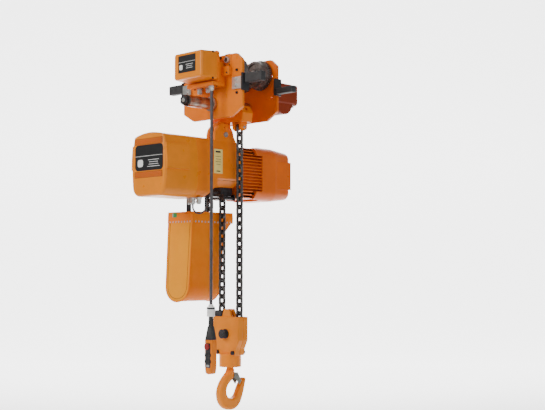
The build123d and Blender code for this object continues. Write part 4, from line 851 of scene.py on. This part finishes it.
def build_bag():
    """Front and rear panels, gusset, rim band, piping, eyelets, stitches and a tag."""
    centre = (BAG_LOW + BAG_HIGH) / 2
    # The front panel takes the lit copy of the cloth: painted light.
    panel = cloth("bag_front_panel", bag_panel(-1), "bag_lit_front")
    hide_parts("chain_bag")
    cloth("bag_rear_panel", bag_panel(1), "bag")
    cloth("bag_gusset", bag_gusset(), "bag")

    bm = bmesh.new()
    for face_y, sign in ((BAG_LOW.y, -1), (BAG_HIGH.y, 1)):
        line_points = [Vector((x, face_y + sign * 0.0004, z)) for x, z in bag_outline(90)]
        tube(bm, line_points, 0.0026)
    hung(bm)
    finish_piece("bag_piping", bm, M["bag"], "hoist", 80)

    bm = bmesh.new()
    inset, middle, bend = 0.013, (BAG_LOW.x + BAG_HIGH.x) / 2, BAG_LOW.z + ROUND
    half = (BAG_HIGH.x - BAG_LOW.x) / 2
    for face_y, sign in ((BAG_LOW.y, -1), (BAG_HIGH.y, 1)):
        line_points = []
        for x, z in bag_outline(90):
            spot = Vector((middle + (x - middle) * (1 - inset / half), face_y,
                           z if z > bend else bend + (z - bend) * (1 - inset / ROUND)))
            spot.y += sign * (slack(spot, 1.0) * (1 - math.exp(-inset / 0.02)) + 0.0002)
            line_points.append(spot)
        tube(bm, line_points, 0.0011, 6)
    hung(bm)
    finish_piece("bag_seam", bm, M["bag_inside"], "hoist", 80)

    bm = bmesh.new()
    rings = []
    for depth, out in ((-0.001, 0.0004), (-0.0015, 0.0022), (0.004, 0.0030), (0.022, 0.0036),
                       (BAND - 0.002, 0.0032), (BAND, 0.0024), (BAND, 0.0004)):
        ring = []
        for point in rim_ring(depth, out):
            wave = noise.noise(point * 22) * 0.0012
            away = Vector((point.x - centre.x, point.y - centre.y, 0)).normalized()
            ring.append(bm.verts.new(point + away * wave))
        rings.append(ring)
    for low, high in zip(rings, rings[1:]):
        for n in range(len(low)):
            m = (n + 1) % len(low)
            bm.faces.new((low[n], low[m], high[m], high[n]))
    finish_piece("bag_band", bm, M["bag"], "hoist", 70)

    bm = bmesh.new()
    pitch, low, high = 0.0185, BAG_LOW, BAG_HIGH
    z = high.z - BAND + 0.004
    for along, start, end, out in ((X, low.x, high.x, -Y), (X, low.x, high.x, Y),
                                   (Y, low.y, high.y, -X), (Y, low.y, high.y, X)):
        count = int((end - start) / pitch)
        first = (start + end - (count - 1) * pitch) / 2
        for n in range(count):
            spot = Vector((0, 0, z))
            if along is X:
                spot.x, spot.y = first + n * pitch, (low.y if out.y < 0 else high.y)
            else:
                spot.y, spot.x = first + n * pitch, (low.x if out.x < 0 else high.x)
            turned(bm, spot + out * 0.003, out, [(4, 0), (4, 0.8), (3, 1.4), (1.8, 0.9), (1.6, 0)], 16)
    finish_piece("bag_eyelets", bm, M["zinc"], "hoist")

    bm = bmesh.new()
    dash, gap, inset = 0.0036, 0.0022, 0.005
    for along, fixed, start, end, out in ((X, low.y, low.x, high.x, -Y), (Y, high.x, low.y, high.y, X),
                                          (X, high.y, low.x, high.x, Y), (Y, low.x, low.y, high.y, -X)):
        count = int((end - start - 2 * inset) / (dash + gap))
        for n in range(count):
            spot = Vector((0, 0, high.z - 0.008))
            place = start + inset + n * (dash + gap) + dash / 2
            if along is X:
                spot.x, spot.y = place, fixed
            else:
                spot.y, spot.x = place, fixed
            side = along if Vector(along).cross(Z).dot(out) > 0 else -along
            plate(bm, spot + out * 0.0036, side, Z, dash / MM, 0.9, 0.6, 0.4, 0.2, 2)
    finish_piece("bag_stitches", bm, M["bag_inside"], "hoist")

    bm = bmesh.new()
    tag = Vector((BAG_LOW.x + 0.045, BAG_LOW.y - 0.004, BAG_HIGH.z - 0.012))
    plate(bm, tag, X, Z, 22, 19, 0.9, 1.5, 0.3)
    finish_piece("bag_tag", bm, M["green"], "hoist")
    bm = bmesh.new()
    plate(bm, tag - X * 0.014, X, Z, 9, 17, 0.7, 1.2, 0.3)
    finish_piece("bag_tag_end", bm, M["grey"], "hoist")


build_bag()


# ---------------------------------------------------------------- floor, backdrop and light
GLOW, GLOW_REACH, GLOW_EDGE = 3.6, 4.0, 7.5     # light on the backdrop: strength and how far it fades


def stage_sheet():
    """Floor that turns up into a wall well behind the object."""
    bm = bmesh.new()
    floor_z, near, far, half, radius = -1.62, -9.0, 4.5, 12.0, 2.0
    forward = Vector((-math.sin(AZIMUTH), math.cos(AZIMUTH), 0))
    side = Vector((forward.y, -forward.x, 0))
    profile = [(near, floor_z), (far, floor_z)]
    turns = [step * math.pi / 24 for step in range(1, 13)]
    profile += [(far + radius * math.sin(turn), floor_z + radius * (1 - math.cos(turn))) for turn in turns]
    profile.append((far + radius, 7.0))
    rows = []
    for along, z in profile:
        spot = forward * along + Z * z
        rows.append([bm.verts.new(spot - side * half), bm.verts.new(spot + side * half)])
    for low, high in zip(rows, rows[1:]):
        bm.faces.new((low[0], low[1], high[1], high[0]))
    data = bpy.data.meshes.new("stage")
    bm.to_mesh(data)
    bm.free()
    for face in data.polygons:
        face.use_smooth = True
    made, tree, shader, place = new_material("stage_white", 0.8)
    base = mixed(tree, spread(tree, noise_at(tree, place, 1.5), 0, 1), (0.8, 0.8, 0.8), (0.76, 0.76, 0.76))
    link(tree, base, shader.inputs["Base Color"])
    shader.inputs["Emission Color"].default_value = (1, 1, 1, 1)
    spot = forward * (far + radius) + Z * 0.2
    away = node(tree, "ShaderNodeVectorMath", operation="DISTANCE")
    away.inputs[1].default_value = spot
    link(tree, place, away.inputs[0])
    glow = node(tree, "ShaderNodeMapRange", interpolation_type="SMOOTHSTEP")
    glow.inputs["From Min"].default_value, glow.inputs["From Max"].default_value = GLOW_REACH, GLOW_EDGE
    glow.inputs["To Min"].default_value, glow.inputs["To Max"].default_value = GLOW, 0.0
    link(tree, away.outputs["Value"], glow.inputs["Value"])
    link(tree, glow.outputs["Result"], shader.inputs["Emission Strength"])
    data.materials.append(made)
    obj = bpy.data.objects.new("stage", data)
    bpy.context.scene.collection.objects.link(obj)


def area_light(name, at, aim, size, power, colour=(1, 1, 1)):
    """Soft square light facing a point."""
    data = bpy.data.lights.new(name, "AREA")
    data.size, data.energy, data.color = size, power, colour
    obj = bpy.data.objects.new(name, data)
    bpy.context.scene.collection.objects.link(obj)
    obj.location = at
    obj.rotation_mode = "QUATERNION"
    obj.rotation_quaternion = (Vector(aim) - Vector(at)).to_track_quat("-Z", "Y")


stage_sheet()
HEART = (-0.05, 0, -0.6)   # what the lights face
WORLD_LIGHT = 0.26
area_light("key", (-0.6, -4.2, 1.6), HEART, 2.4, 155, (1, 0.98, 0.94))
area_light("fill", (4.2, -0.6, 0.8), HEART, 3.0, 60)
area_light("back", (-2.5, 3.5, 2.0), HEART, 3.0, 8)
world = bpy.data.worlds.new("world")
world.use_nodes = True
world.node_tree.nodes["Background"].inputs["Color"].default_value = (1, 1, 1, 1)
world.node_tree.nodes["Background"].inputs["Strength"].default_value = WORLD_LIGHT
bpy.context.scene.world = world
